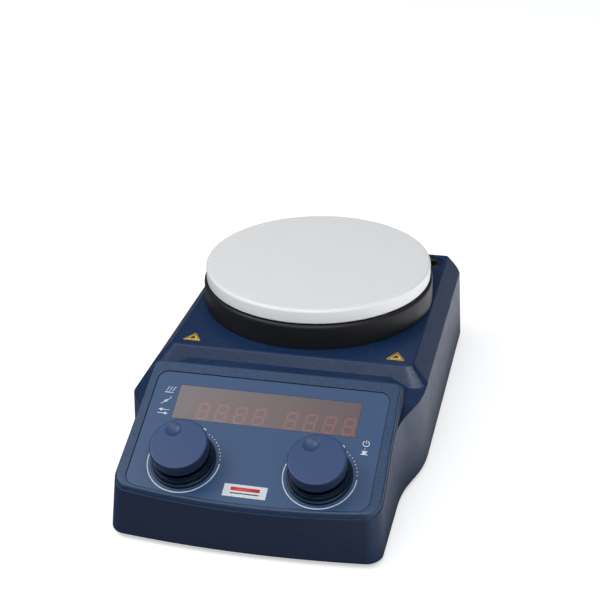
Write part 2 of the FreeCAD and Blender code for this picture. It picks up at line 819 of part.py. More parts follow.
# ---------------------------------------------------------------- base plate, feet, base screws
def base_plate():
    wide, slim = half_w - wall - 0.5, half_n - wall - 0.6

    def waist(ends):
        """Points down the side wall's curve, drawn in a little more along its middle."""
        y0, y1 = ends
        handle = (y0 - y1) * WAIST_HANDLE
        points = []
        for t in (0.0, 0.25, 0.5, 0.625, 0.75, 0.875, 1.0):
            a, b, c, d = (1 - t) ** 3, 3 * t * (1 - t) ** 2, 3 * t * t * (1 - t), t ** 3
            clearance = 0.25 if 0.3 < t < 0.95 else 0.0
            points.append((wide - (wide - slim) * (c + d) - clearance,
                           y0 * a + (y0 - handle) * b + (y1 + handle) * c + y1 * d))
        return points

    rear = [(wide, rear_y - 3.6)]
    front = [(slim, front_y + 15.5), (slim - 2.2, front_y + 11.4), (slim - 6.5, front_y + 8.6),
             (50, front_y + 6.9)]
    corners = rear + waist(WAIST_RIGHT) + front + mirrored(rear + waist(WAIST_LEFT) + front)

    body = new_body()
    pad = add_pad(body, polygon_sketch(body, "XY_Plane", corners), base_t, "base_pad")
    add_rounding(body, pad, 4, lambda e: upright(e) and e.BoundBox.YMax > 120, "base_corners")
    holes = circle_sketch(body, [(x, y, 1.8) for x, y in FEET + EDGE_SCREWS])
    add_through_pocket(body, holes, "base_holes")
    # a row of five vent slots, seven apart
    slot_sketch = polygon_sketch(body, "XY_Plane", [(-26, 78), (26, 78), (26, 81), (-26, 81)])
    slot = add_through_pocket(body, slot_sketch, "vent_slot")
    slot_row = body.newObject("PartDesign::LinearPattern", "vent_row")
    slot_row.Originals = [slot]
    slot_row.Direction = (slot_sketch, ["V_Axis"])
    slot_row.Length = 28
    slot_row.Occurrences = 5
    body.Tip = slot_row
    doc.recompute()
    return put(body, (0, 0, skirt_z))


node(base_plate(), "base_plate")

screw_seat = 1.6  # depth of the screw head's recess in a foot
node(group([cut(cone(foot_rad - 0.8, foot_rad, skirt_z, (x, y, 0)),
                cyl(4.0, screw_seat, (x, y, 0)), cyl(1.9, 10, (x, y, -1))) for x, y in FEET]),
     "rubber_feet")
node(group(screws(FEET, screw_seat, FOOT_SCREW) + screws(EDGE_SCREWS, skirt, EDGE_SCREW)),
     "base_screws")

# ---------------------------------------------------------------- heating plate stack
plate = turned_on_axis(
    [(0, plate_under), (plate_in, plate_under), (plate_in, plate_rim), (plate_rad, plate_rim),
     (plate_rad, plate_top), (0, plate_top)],
    [(1.6, plate_rad, plate_top), (0.5, plate_rad, plate_rim)])
node(cut(plate, *cyls(PILLARS, pillar_rad + 0.1, 1.5, plate_under)), "heating_plate")


def disc(inside, outside, low, high):
    """A flat ring about the stirring axis."""
    return turned_on_axis([(inside, low), (outside, low), (outside, high), (inside, high)])


heater = disc(heater_in, heater_rad, plate_under - heater_t, plate_under)
node(cut(heater, *cyls(PILLARS, pillar_rad + 0.5, 10, 70)), "heater_disc")

shield_top = ledge_z + shield_t
insulation = disc(4.4, insul_rad, shield_top, shield_top + insul_t)
node(cut(insulation, *cyls(PILLARS, pillar_rad + 0.3, 10, 66), *cyls(LEADS, 1.5, 10, 66)),
     "insulation_disc")

shield = disc(1.6, shield_rad, ledge_z, shield_top)
node(cut(shield, *cyls(PILLARS, pillar_rad + 0.3, 10, 64), *cyls(LEADS, 2.0, 10, 64)),
     "heat_shield")

node(fuse(cyl(4.0, 6.0, (0, plate_y, 70.0)), cyl(1.2, 6.0, (0, plate_y, 67.4))), "plate_sensor")

node(turned_on_axis(
    [(opening_rad - 2.5, deck_z - 3), (opening_rad - 0.2, deck_z - 3), (opening_rad - 0.2, deck_z),
     (guard_rad, deck_z), (guard_rad, guard_top), (guard_in, guard_top), (guard_in, ledge_z),
     (60, ledge_z), (60, ledge_z - 2), (guard_in - 0.6, ledge_z - 2),
     (guard_in - 0.6, deck_z + 2), (opening_rad - 2.5, deck_z + 2)],
    [(1.8, guard_rad, guard_top), (0.4, guard_in, guard_top)]), "plate_skirt")

bracket_top = bracket_z + bracket_t
node(group([cut(cyl(pillar_rad, 26.4, (x, y, bracket_top)), cyl(1.3, 8, (x, y, bracket_top)))
            for x, y in PILLARS]), "plate_pillars")
machine_screws = screws(PILLARS, bracket_z.value, PILLAR_SCREW)


# ---------------------------------------------------------------- motor bracket and its screws
def motor_bracket():
    body = new_body()
    circles = [(0, 0, bracket_rad), (0, 0, 8.2)]
    for points, radius in ((PILLARS + MOTOR_SCREWS, 1.6), (BOSSES, 1.9), (LEADS, 2.2)):
        circles += [(x, y - axis_y, radius) for x, y in points]
    add_pad(body, circle_sketch(body, circles), bracket_t, "bracket_pad")
    return put(body, (0, plate_y, bracket_z))


node(motor_bracket(), "motor_bracket")
node(group(screws(BOSSES, bracket_z.value, BRACKET_SCREW)), "bracket_screws")
machine_screws += screws(MOTOR_SCREWS, bracket_top.value, MOTOR_SCREW, head_down=False)

# ---------------------------------------------------------------- motor
motor_high = bracket_z
collar_r = 8.0  # raised collar that sits in the bracket's hole
can_inside = motor_rad - motor_wall
rotor_rad = 12.8
FIT = 0.02  # clearance of pressed-on pieces
RUN = 0.05  # clearance of running pieces

can = turned_on_axis(
    [(bearing_rad, motor_low), (motor_rad, motor_low), (motor_rad, motor_high),
     (collar_r, motor_high), (collar_r, motor_high + 1.5), (bearing_rad, motor_high + 1.5),
     (bearing_rad, motor_high - motor_end), (can_inside, motor_high - motor_end),
     (can_inside, motor_low + motor_end), (bearing_rad, motor_low + motor_end)],
    [(1.2, motor_rad, motor_low)])
node(cut(can, *cyls(MOTOR_SCREWS, 1.3, 5.0, bracket_z - 4.6)), "motor_can")

stator = disc(13.3, can_inside - 0.05, motor_low + 7, motor_high - 7)
# four notches: angle, length along x, width along y
stator_notches = []
for angle, length, width in ((0, 3.2, 1.6), (180, 3.2, 1.6), (90, 1.6, 3.2), (270, 1.6, 3.2)):
    turn = math.radians(angle)
    stator_notches.append(cbox(length, width, 40, 15.4 * math.cos(turn),
                               axis_y + 15.4 * math.sin(turn), 18))
node(cut(stator, *stator_notches), "motor_stator")

node(group([disc(axle_rad + RUN, bearing_rad - FIT, z, z + 4.0)
            for z in (motor_low + 0.5, motor_high - 4.2)]), "motor_bearings")
node(turned_on_axis(
    [(axle_rad + FIT, motor_low + 8), (rotor_rad, motor_low + 8), (rotor_rad, motor_high - 8),
     (axle_rad + FIT, motor_high - 8)],
    [(0.5, rotor_rad, motor_high - 8)]), "motor_rotor")
node(round_edges(cyl(axle_rad, axle_high - axle_low, (0, plate_y, axle_low)), 0.4, circular),
     "motor_shaft")
node(cut(cyl(4.4, 0.8, (0, plate_y, 19.0)), cyl(axle_rad + FIT, 3, (0, plate_y, 18)),
         box(4, 8, 3, (-2, axis_y + 1, 18))), "shaft_circlip")

# ---------------------------------------------------------------- magnet carrier
set_screw_z = 54.5
bar = common(cbox(yoke_len, yoke_wide, yoke_t, 0, plate_y, yoke_z),
             cyl(yoke_len / 2, 20, (0, plate_y, 50)))
hub = cyl(7.0, 2.9, (0, plate_y, yoke_z - 2.9))
node(cut(fuse(bar, hub), cyl(axle_rad + FIT, 20, (0, plate_y, 48)),
         cyl(1.55, 10, (0, axis_y + 1, set_screw_z), TO_BACK)), "magnet_carrier")
node(group([round_edges(cyl(magnet_rad, magnet_t, (x, plate_y, yoke_z + yoke_t)), 0.5, circular)
            for x in (-magnet_x.value, magnet_x.value)]), "drive_magnets")
node(cut(cyl(1.5, 4.2, (0, axis_y + 2.55, set_screw_z), TO_BACK),
         hexagon(0.9, 3, (0, axis_y + 5.2, set_screw_z), TO_BACK)), "carrier_set_screw")

# ---------------------------------------------------------------- knobs and encoders
# (radius, out) corners
CAP_PROFILE = [
    (shaft_rad + 0.03, 5.6), (5.6, 5.6), (5.6, 12.7), (12.6, 12.7), (12.6, knob_low),
    (knob_rad - 0.35, knob_low), (knob_rad, knob_top), (0, knob_top), (0, 12.7),
    (shaft_rad + 0.03, 12.7)]
overlay_face = -(over_pocket - over_t)
COLLAR_PROFILE = [
    (8.2, overlay_face), (collar_rad, overlay_face), (collar_rad, 1.0), (16.4, 1.6), (15.9, 1.6),
    (15.9, 2.4), (15.3, 4.6), (14.8, 5.1), (14.3, 5.1), (14.3, 4.2), (11.6, 4.2), (11.6, 6.2),
    (8.2, 6.2)]


def knob_cap(x):
    cap = turned(CAP_PROFILE, on_panel(x, knob_axis_up, 0),
                 [(1.0, knob_rad, knob_top), (0.4, knob_rad - 0.35, knob_low)])
    # the finger dimple is a shallow bowl, turned 28.5 degrees to the left of straight up the panel
    offset, angle = 9.2, math.radians(28.5)
    depth = dimple_deep.value
    ball_rad = (dimple_rad.value ** 2 + depth ** 2) / (2 * depth)
    ball = sphere(ball_rad, on_panel(x - offset * math.sin(angle),
                                     knob_axis_up + offset * math.cos(angle),
                                     knob_top.value + ball_rad - depth))
    return cut(cap, ball)


def encoder_body(x):
    """The encoder's case with its bushing, bored for the shaft and hollowed for its flange."""
    case = box(12.4, 13.2, -CONTROL_BOARD_TOP - bezel_t,
               on_panel(x - 6.2, knob_axis_up - 6.6, CONTROL_BOARD_TOP))
    bushing = cyl(bush_rad, 7.0, on_panel(x, knob_axis_up, -4.0))
    return cut(fuse(case, bushing), cyl(shaft_rad + RUN, 16, on_panel(x, knob_axis_up, -5.0)),
               cyl(4.6, 5.1, on_panel(x, knob_axis_up, -9.2)))


def encoder_shaft(x):
    """The shaft with its flange, and a flat on its upper side."""
    shaft = fuse(cyl(shaft_rad, 19.1, on_panel(x, knob_axis_up, -6.5)),
                 cyl(4.2, 1.5, on_panel(x, knob_axis_up, -6.5)))
    return cut(shaft, box(8, 3, 7.0, on_panel(x - 4, knob_axis_up + 1.6, 5.8)))


collars, encoders = [], []
for x, name in ((-knob_axis_x, "heat"), (knob_axis_x, "stir")):
    node(knob_cap(x), name + "_knob_cap")
    collars.append(turned(COLLAR_PROFILE, on_panel(x, knob_axis_up, 0)))
    encoders.append(encoder_body(x))
    node(encoder_shaft(x), name + "_encoder_shaft")
    node(cyl(1.9, 1.9, on_panel(x, knob_axis_up, -8.47)), name + "_push_plunger")
nuts = [cut(hexagon(6.6, 2.4, on_panel(x, knob_axis_up, pocket_floor)),
            cyl(bush_rad + 0.03, 8, on_panel(x, knob_axis_up, -3)))
        for x in (-knob_axis_x, knob_axis_x)]
node(group(collars), "knob_collars")
node(group(encoders), "encoder_bodies")

# ---------------------------------------------------------------- control board and display
node(circuit_board([(-52, 10), (52, 10), (52, 77), (-52, 77)], BEZEL_POSTS, 1.2,
                   on_panel(0, 0, CONTROL_BOARD_UNDER)), "control_board")


def panel_screw(x, up):
    """A slotted screw that holds the control board from below."""
    head_h = 1.3
    head_out = CONTROL_BOARD_UNDER - head_h
    body = fuse(cyl(2.0, head_h, on_panel(x, up, head_out)),
                cyl(1.0, 5.2, on_panel(x, up, CONTROL_BOARD_UNDER)))
    return cut(body, box(2.6, 0.6, 0.6, on_panel(x - 1.3, up - 0.3, head_out - 0.01)))


machine_screws += [panel_screw(x, up) for x, up in BEZEL_POSTS]
module_length = 45.6
node(group([box(module_length, 17.0, 6.3,
                on_panel(middle - module_length / 2, 50.6, CONTROL_BOARD_TOP))
            for middle in (-23.6, 23.6)]), "display_modules")

# ---------------------------------------------------------------- power board and its parts
BOARD_HOLES = [(-50, -60), (50, -60), (-50, 0), (50, 0)]
board_top = board_z.value + board_t.value
node(circuit_board([(-55, -65), (55, -65), (55, 5), (-55, 5)], BOARD_HOLES, 1.7, (0, 0, board_z)),
     "power_board")
node(group([cut(cyl(3.0, board_z - skirt_z - base_t, (x, y, skirt_z + base_t)),
                cyl(1.3, 10, (x, y, 6.0))) for x, y in BOARD_HOLES]), "board_spacers")
machine_screws += screws(BOARD_HOLES, board_top, BOARD_SCREW, head_down=False)
node(group(machine_screws), "machine_screws")

core_x, core_y = -24, -32
node(cut(cbox(36, 30, 26, core_x, core_y, board_top),
         cbox(8, 40, 14, core_x - 10, core_y, board_top + 6),
         cbox(8, 40, 14, core_x + 10, core_y, board_top + 6)), "transformer_core")
node(cut(cbox(27.6, 37, 13.6, core_x, core_y, board_top + 6.2),
         cbox(12.2, 31, 16, core_x, core_y, board_top + 5)), "transformer_winding")

# x, y, radius, height
CAPACITORS = [(8, -48, 6.5, 24), (24, -50, 5.0, 18), (38, -50, 4.0, 14)]
node(group([round_edges(cyl(radius, height, (x, y, board_top)), 0.8,
                        lambda e: circular(e) and e.BoundBox.ZMin > board_top + 1)
            for x, y, radius, height in CAPACITORS]), "board_capacitors")
node(cbox(19, 15.5, 15.5, 30, -28, board_top), "heater_relay")

sink_x, sink_height, fin_pitch = 24, 22, 5
node(fuse(cbox(34, 2.5, sink_height, sink_x, -8, board_top),
          *[cbox(1.4, 9, sink_height, sink_x + fin_pitch * k, -3.0, board_top)
            for k in range(-3, 4)]), "triac_heatsink")
node(cbox(10, 4.4, 15, sink_x, -11.5, board_top + 2), "heater_triac")

# ---------------------------------------------------------------- rear panel and its fittings
inlet_at_x, inlet_at_z = inlet_x.value, inlet_z.value
switch_at_x, switch_at_z = switch_x.value, switch_z.value
socket_at_x, socket_at_z = socket_x.value, socket_z.value

node(cut(box(136, back_t, 36.5, (-68, back_y - back_t, 8)),
         rear_box(27.4, 10, 25.4, inlet_at_x, back - 6, inlet_at_z),
         rear_box(13.4, 10, 19.4, switch_at_x, back - 6, switch_at_z),
         cyl(6.2, 10, (socket_at_x, back - 6, socket_at_z), TO_BACK)), "rear_panel")

# mains inlet: flange and barrel, a well with two cut corners for the plug, a fuse drawer under it
drawer_z = inlet_at_z - 8.6
# (x, z) corners from the inlet's middle
WELL = [(-12, -3.6), (12, -3.6), (12, 7.6), (7.6, 12), (-7.6, 12), (-12, 7.6)]
inlet = fuse(rear_box(32, 2.0, 30, inlet_at_x, back, inlet_at_z),
             rear_box(27, 17, 25, inlet_at_x, back - 17, inlet_at_z))
well = feature(prism([(inlet_at_x + x, inlet_at_z + z) for x, z in WELL], "Y",
                     back - 13, back + 3))
drawer_hole = rear_box(24.4, 14.4, 6.4, inlet_at_x, back - 12.2, drawer_z)
node(cut(inlet, well, drawer_hole), "mains_inlet")
# length, height, x and z from the inlet's middle
BLADES = [(4.0, 2.0, 0, 7.0), (2.0, 4.0, -7.0, 2.0), (2.0, 4.0, 7.0, 2.0)]
blades = [rear_box(length, 9.5, height, inlet_at_x + x, back - 12.95, inlet_at_z + z)
          for length, height, x, z in BLADES]

node(cut(fuse(rear_box(24, 14.1, 6, inlet_at_x, back - 12, drawer_z),
              rear_box(26, 0.9, 6.8, inlet_at_x, back + 2.05, drawer_z)),
         rear_box(21, 9.2, 6, inlet_at_x, back - 10, drawer_z + 0.7)), "fuse_drawer")

# the fuse link: its tube, then its two end caps, as radius, length, left end from the inlet's x
FUSE_LINK = [(2.2, 19.0, -9.5), (2.5, 5.0, -10.0), (2.5, 5.0, 5.0)]
node(fuse(*[cyl(radius, length, (inlet_at_x + x, back - 5.2, inlet_at_z - 8.15), TO_RIGHT)
            for radius, length, x in FUSE_LINK]), "fuse_link")

# power switch: a frame, and a rocker that turns about X
node(cut(fuse(rear_box(15.6, 1.6, 21.6, switch_at_x, back, switch_at_z),
              rear_box(13, 14, 19, switch_at_x, back - 14, switch_at_z)),
         rear_box(10.6, 20, 16.6, switch_at_x, back - 11, switch_at_z)), "switch_frame")
# (y, z) corners from the rear panel's outside and the switch's middle
ROCKER = [(-2.5, -7.0), (0.6, -7.9), (1.5, -7.4), (0.7, 0), (2.7, 6.7), (1.8, 7.2), (-2.5, 7.0),
          (-6.0, 2.6), (-6.0, -2.6)]
rocker = prism([(back + y, switch_at_z + z) for y, z in ROCKER], "X",
               switch_at_x - 5.1, switch_at_x + 5.1)
pivot = Part.makeCylinder(1.0, 10.5, Vector(switch_at_x - 5.25, back - 4.0, switch_at_z),
                          Vector(1, 0, 0))
node(feature(rocker.fuse(pivot).removeSplitter()), "power_rocker")


def at_socket(y):
    """A point on the sensor socket's axis, y from the rear panel's outside."""
    return (socket_at_x, back + y, socket_at_z)


# temperature sensor socket
node(cut(fuse(cyl(9.0, 1.8, at_socket(0), TO_BACK), cyl(6.0, 15, at_socket(-15), TO_BACK)),
         cyl(4.6, 12, at_socket(-7), TO_BACK)), "sensor_socket")
nuts.append(cut(hexagon(8.4, 2.5, at_socket(-4.0), TO_BACK),
                cyl(6.05, 10, at_socket(-8), TO_BACK)))
node(group(nuts), "mounting_nuts")
socket_pins = [cyl(0.5, 4.5, (x, back - 7.0, z), TO_BACK)
               for x, z in ring_of_three(2.4, 90, socket_at_x, socket_at_z)]
node(group(blades + socket_pins), "contact_pins")

# ---------------------------------------------------------------- support rod insert
insert_top = deck_z - 0.6
insert_length = 25.0
insert = cut(cyl(rod_rad, insert_length, (rod_x, rod_y, insert_top - insert_length)),
             cyl(rod_bore, rod_deep + 5, (rod_x, rod_y, insert_top - rod_deep)))
node(round_edges(insert, 0.5, lambda e: circular(e) and e.BoundBox.ZMin > deck - 0.7),
     "rod_insert")


# ---------------------------------------------------------------- wiring
def cable(points, radius):
    """A round cable along a bent line, its corners rounded."""
    bend = 3.0
    p = [Vector(*a) for a in points]
    edges, last = [], p[0]
    for before, corner, after in zip(p, p[1:], p[2:]):
        back_way, on_way = (before - corner).normalize(), (after - corner).normalize()
        k = min(bend, 0.45 * (before - corner).Length, 0.45 * (after - corner).Length)
        edges.append(Part.makeLine(last, corner + back_way * k))
        edges.append(bezier([corner + back_way * k, corner, corner + on_way * k]))
        last = corner + on_way * k
    edges.append(Part.makeLine(last, p[-1]))
    section = Part.Wire(Part.makeCircle(radius, p[0], p[1] - p[0]))
    return Part.Wire(edges).makePipeShell([section], True, True, 0)


heater_leads = [cable([(x, y, 74.0), (x, y, 24.0), (x, 1.5, 24.0), (x, 1.5, board_top)], 1.1)
                for x, y in LEADS]
inlet_wires = [cable([(x, back - 17.0, inlet_at_z - 4.0), (x, 100.0, inlet_at_z - 4.0),
                      (x, 100.0, 16.0), (x, 2.0, 16.0), (x, 2.0, board_top)], 1.3)
               for x in (inlet_at_x - 4, inlet_at_x, inlet_at_x + 4)]
# x at the switch, x at the board
SWITCH_WIRES = [(switch_at_x - 4, -32.0), (switch_at_x + 4, -28.0)]
switch_wires = [cable([(x, back - 14.0, switch_at_z), (x, 104.0, switch_at_z), (x, 104.0, 10.0),
                       (end_x, 92.0, 10.0), (end_x, 2.5, 16.0), (end_x, 2.5, board_top)], 1.0)
                for x, end_x in SWITCH_WIRES]
node(feature(Part.makeCompound(heater_leads + inlet_wires + switch_wires)), "power_wires")

motor_cable = cable([(0.0, axis_y - motor_rad.value, 30.0), (0.0, 24.0, 30.0), (0.0, 24.0, 15.0),
                     (0.0, 3.0, 15.0), (0.0, 3.0, board_top)], 1.6)
sensor_cable = cable([at_socket(-15.0), (socket_at_x, 104.0, socket_at_z),
                      (socket_at_x + 8, 90.0, 20.0), (socket_at_x + 8, 14.0, 20.0),
                      (44.0, 3.0, 20.0), (44.0, 3.0, board_top)], 1.3)
node(feature(Part.makeCompound([motor_cable, sensor_cable])), "signal_cables")

# ribbon between the two boards, as a (y, z) section
ribbon_top = panel(0, 40.0, CONTROL_BOARD_UNDER)
RIBBON = [(ribbon_top.y, ribbon_top.z), (ribbon_top.y + 2.0, ribbon_top.z - 4.0),
          (-62.6, board_top + 6.0), (-62.6, board_top), (-61.9, board_top),
          (-61.9, board_top + 6.2), (ribbon_top.y + 2.6, ribbon_top.z - 3.6),
          (ribbon_top.y + 0.7, ribbon_top.z + 0.3)]
node(feature(prism(RIBBON, "X", -14.0, 14.0)), "ribbon_cable")


# ---------------------------------------------------------------- blank triangles on the deck
def triangle_sticker(x):
    half, front, rear = 5.1, -13.4, -4.4
    corners = [Vector(x - half, front, deck), Vector(x + half, front, deck), Vector(x, rear, deck)]
    return Part.Face(Part.makePolygon(corners + [corners[0]])).extrude(Vector(0, 0, 0.12))


node(feature(Part.makeCompound([triangle_sticker(x) for x in (-59.0, 59.0)])), "deck_stickers")

# ---------------------------------------------------------------- check and write
doc.recompute()
bad = [o.Label for o in doc.Objects if any(s in ("Invalid", "Error") for s in o.State)]
if bad:
    raise RuntimeError("objects failed to recompute: %s" % bad)
os.makedirs("parts", exist_ok=True)
for old in os.listdir("parts"):
    if old.endswith(".step"):
        os.remove(os.path.join("parts", old))
wrong = []
for label, o in NODES.items():
    shape = o.Shape
    if shape.isNull() or not shape.isValid() or not shape.Solids or shape.Volume <= 0:
        wrong.append(label)
        continue
    shape.exportStep("parts/%s.step" % label)
if wrong:
    raise RuntimeError("not valid solids: %s" % wrong)
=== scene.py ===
"""Looks of a hotplate magnetic stirrer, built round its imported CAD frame.

The scene is in metres in the CAD frame: +Z up, the control panel on the front at -Y, +X to the
right as seen from the front. Shapes are written in millimetres and scaled by MM. On the panel,
x runs right, s runs up the slope and h stands off the surface.
"""
import json
import math

import bmesh
import bpy
from mathutils import Matrix, Vector


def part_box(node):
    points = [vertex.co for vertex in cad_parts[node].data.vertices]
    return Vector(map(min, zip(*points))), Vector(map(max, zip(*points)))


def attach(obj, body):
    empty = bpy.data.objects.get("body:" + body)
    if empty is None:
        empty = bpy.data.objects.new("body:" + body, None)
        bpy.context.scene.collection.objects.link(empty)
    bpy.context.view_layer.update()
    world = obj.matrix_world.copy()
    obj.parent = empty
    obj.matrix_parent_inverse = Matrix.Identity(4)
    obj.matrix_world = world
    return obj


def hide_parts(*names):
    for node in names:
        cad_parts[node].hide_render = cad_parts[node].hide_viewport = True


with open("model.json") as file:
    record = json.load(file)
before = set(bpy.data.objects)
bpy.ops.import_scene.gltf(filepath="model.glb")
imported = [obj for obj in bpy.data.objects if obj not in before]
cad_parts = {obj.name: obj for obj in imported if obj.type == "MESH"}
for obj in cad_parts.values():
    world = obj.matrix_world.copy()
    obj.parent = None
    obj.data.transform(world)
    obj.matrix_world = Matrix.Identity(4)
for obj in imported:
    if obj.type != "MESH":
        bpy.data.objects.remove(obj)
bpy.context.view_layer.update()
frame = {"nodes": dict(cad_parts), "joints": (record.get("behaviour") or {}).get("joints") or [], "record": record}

MM = 0.001
scene = bpy.context.scene

# ---------------------------------------------------------------- control panel, from the joints
KNOB_JOINT_H = 12.0     # the knob joints stand this far off the panel origin plane
KNOB_S = 23.3           # knob centres above the panel origin, along the slope
FILM_H = -0.4           # face of the printed film
INK = 0.05              # thickness of the printing

joints = {joint["name"]: joint for joint in frame["joints"]}
PANEL_OUT = Vector(joints["heat_turn"]["axis"]).normalized()
PANEL_UP = Vector((0, PANEL_OUT.z, -PANEL_OUT.y))
PANEL_RIGHT = Vector((1, 0, 0))
KNOB = {
    label: Vector(joints[label + "_turn"]["pos_m"]) - PANEL_OUT * KNOB_JOINT_H * MM
    for label in ("heat", "stir")
}
KNOB_X = abs(KNOB["stir"].x) / MM
PANEL_ORIGIN = (KNOB["heat"] + KNOB["stir"]) * 0.5 - PANEL_UP * KNOB_S * MM
PANEL_TURN = Matrix((PANEL_RIGHT, PANEL_UP, PANEL_OUT)).transposed().to_4x4()


def on_panel(x, s, h, origin=PANEL_ORIGIN):
    """Panel coordinates in mm to a point in metres."""
    return origin + PANEL_RIGHT * (x * MM) + PANEL_UP * (s * MM) + PANEL_OUT * (h * MM)


def on_film(x, s, h):
    """Like on_panel, with h counted from the film face."""
    return on_panel(x, s, FILM_H + h)


# ---------------------------------------------------------------- node graphs
class Graph:
    """Adds and links the shader nodes of one emptied node tree."""

    def __init__(self, tree):
        self.tree = tree
        tree.nodes.clear()

    def add(self, kind, inputs=None, **settings):
        """Adds a node. Inputs are keyed by name or index and hold a value or an output socket."""
        node = self.tree.nodes.new("ShaderNode" + kind)
        for key, value in settings.items():
            setattr(node, key, value)
        for key, value in (inputs or {}).items():
            if isinstance(value, bpy.types.NodeSocket):
                self.tree.links.new(value, node.inputs[key])
            else:
                node.inputs[key].default_value = value
        return node

    def noise(self, vector, scale, detail=2.0, roughness=0.5):
        inputs = {"Vector": vector, "Scale": scale, "Detail": detail, "Roughness": roughness}
        return self.add("TexNoise", inputs).outputs[0]

    def mix(self, factor, a, b, blend="MIX"):
        """Mixes two colours."""
        inputs = {0: factor, 6: a, 7: b}
        return self.add("Mix", inputs, data_type="RGBA", blend_type=blend).outputs[2]

    def math(self, operation, a, b):
        return self.add("Math", {0: a, 1: b, 2: 0.0}, operation=operation).outputs[0]

    def multiply(self, a, b):
        return self.math("MULTIPLY", a, b)

    def span(self, value, from_min, from_max, to_min, to_max, interpolation="LINEAR"):
        """Maps one range onto another, clamped."""
        inputs = dict(enumerate((value, from_min, from_max, to_min, to_max)))
        node = self.add("MapRange", inputs, clamp=True, interpolation_type=interpolation)
        return node.outputs[0]

    def grey(self, value):
        """One value as a grey colour."""
        return self.add("CombineColor", {"Red": value, "Green": value, "Blue": value}).outputs[0]

    def axes(self, vector):
        """The X, Y and Z outputs of a vector."""
        return self.add("SeparateXYZ", {"Vector": vector}).outputs

    def normal_axes(self):
        """X, Y and Z of the direction a surface faces."""
        return self.axes(self.add("NewGeometry").outputs["Normal"])


def new_material(name):
    material = bpy.data.materials.new(name)
    material.use_nodes = True
    return material, Graph(material.node_tree)


def shade(rgb, factor=1.0, lift=0.0):
    """A colour scaled and lifted, with full alpha."""
    return tuple(min(1.0, c * factor + lift) for c in rgb) + (1.0,)


# ---------------------------------------------------------------- parts of a finish
FADE_X = (-0.045, 0.048)    # metres, where the far tone starts and is full


def facet_highlight_mask(g):
    """Where a painted highlight goes: the small slanting face at the right end of the step."""
    normal = g.normal_axes()
    sideways = g.multiply(g.span(normal["X"], 0.04, 0.26, 0.0, 1.0),
                          g.span(normal["X"], 0.66, 0.52, 0.0, 1.0))
    forward_and_up = g.multiply(g.span(normal["Y"], -0.30, -0.50, 0.0, 1.0),
                                g.span(normal["Z"], 0.35, 0.50, 0.0, 1.0))
    return g.multiply(sideways, forward_and_up)


def add_sparkle(g, coords, colour, spark, front_shade_mask):
    """Fine sparkle of a spark-eroded mould finish, held back on the front wall."""
    hold = 0.8
    speck = g.noise(coords, scale=950.0, detail=1.0, roughness=0.5)
    sparkle = g.span(speck, 0.44, 0.62, 1.0 - spark * 0.6, 1.0 + spark)
    if front_shade_mask is not None:
        kept = g.math("SUBTRACT", 1.0, g.multiply(front_shade_mask, hold))
        sparkle = g.math("ADD", g.multiply(sparkle, kept), g.multiply(front_shade_mask, hold))
    return g.mix(1.0, colour, g.grey(sparkle), "MULTIPLY")


def add_edge_wear_and_highlight(g, coords, colour, base, rounded, edge_wear_highlight):
    """Lighter colour where the rounded normal leaves the true one: partly wear on rounded corners, partly a
    painted highlight along them.
    """
    dot = g.add("VectorMath", {0: rounded, 1: g.add("NewGeometry").outputs["Normal"]},
                operation="DOT_PRODUCT")
    wear_and_highlight = g.span(dot.outputs["Value"], 0.995, 0.80, 0.0, 1.0)
    patches = g.noise(coords, scale=220.0, detail=3.0, roughness=0.6)
    wear_and_highlight = g.multiply(wear_and_highlight, g.span(patches, 0.3, 0.7, 0.35, 1.0))
    return g.mix(g.multiply(wear_and_highlight, edge_wear_highlight), colour, shade(base, factor=1.6, lift=0.08))


def add_dust(g, coords, colour, dust):
    """Pale specks on faces that look up."""
    upward = g.span(g.normal_axes()["Z"], 0.2, 1.0, 0.0, 1.0)
    specks = g.noise(coords, scale=900.0, detail=4.0, roughness=0.7)
    cover = g.multiply(upward, g.span(specks, 0.52, 0.75, 0.0, 1.0))
    return g.mix(g.multiply(cover, dust), colour, (0.55, 0.55, 0.55, 1.0))


def see_through(g, surface, opacity, clear_colour):
    """Tints only the face towards the eye; the far face lets everything through."""
    clear = g.add("BsdfTransparent", {"Color": shade(clear_colour)})
    backfacing = g.add("NewGeometry").outputs["Backfacing"]
    factor = g.multiply(g.math("SUBTRACT", 1.0, backfacing), opacity)
    return g.add("MixShader", {0: factor, 1: clear.outputs[0], 2: surface}).outputs[0]


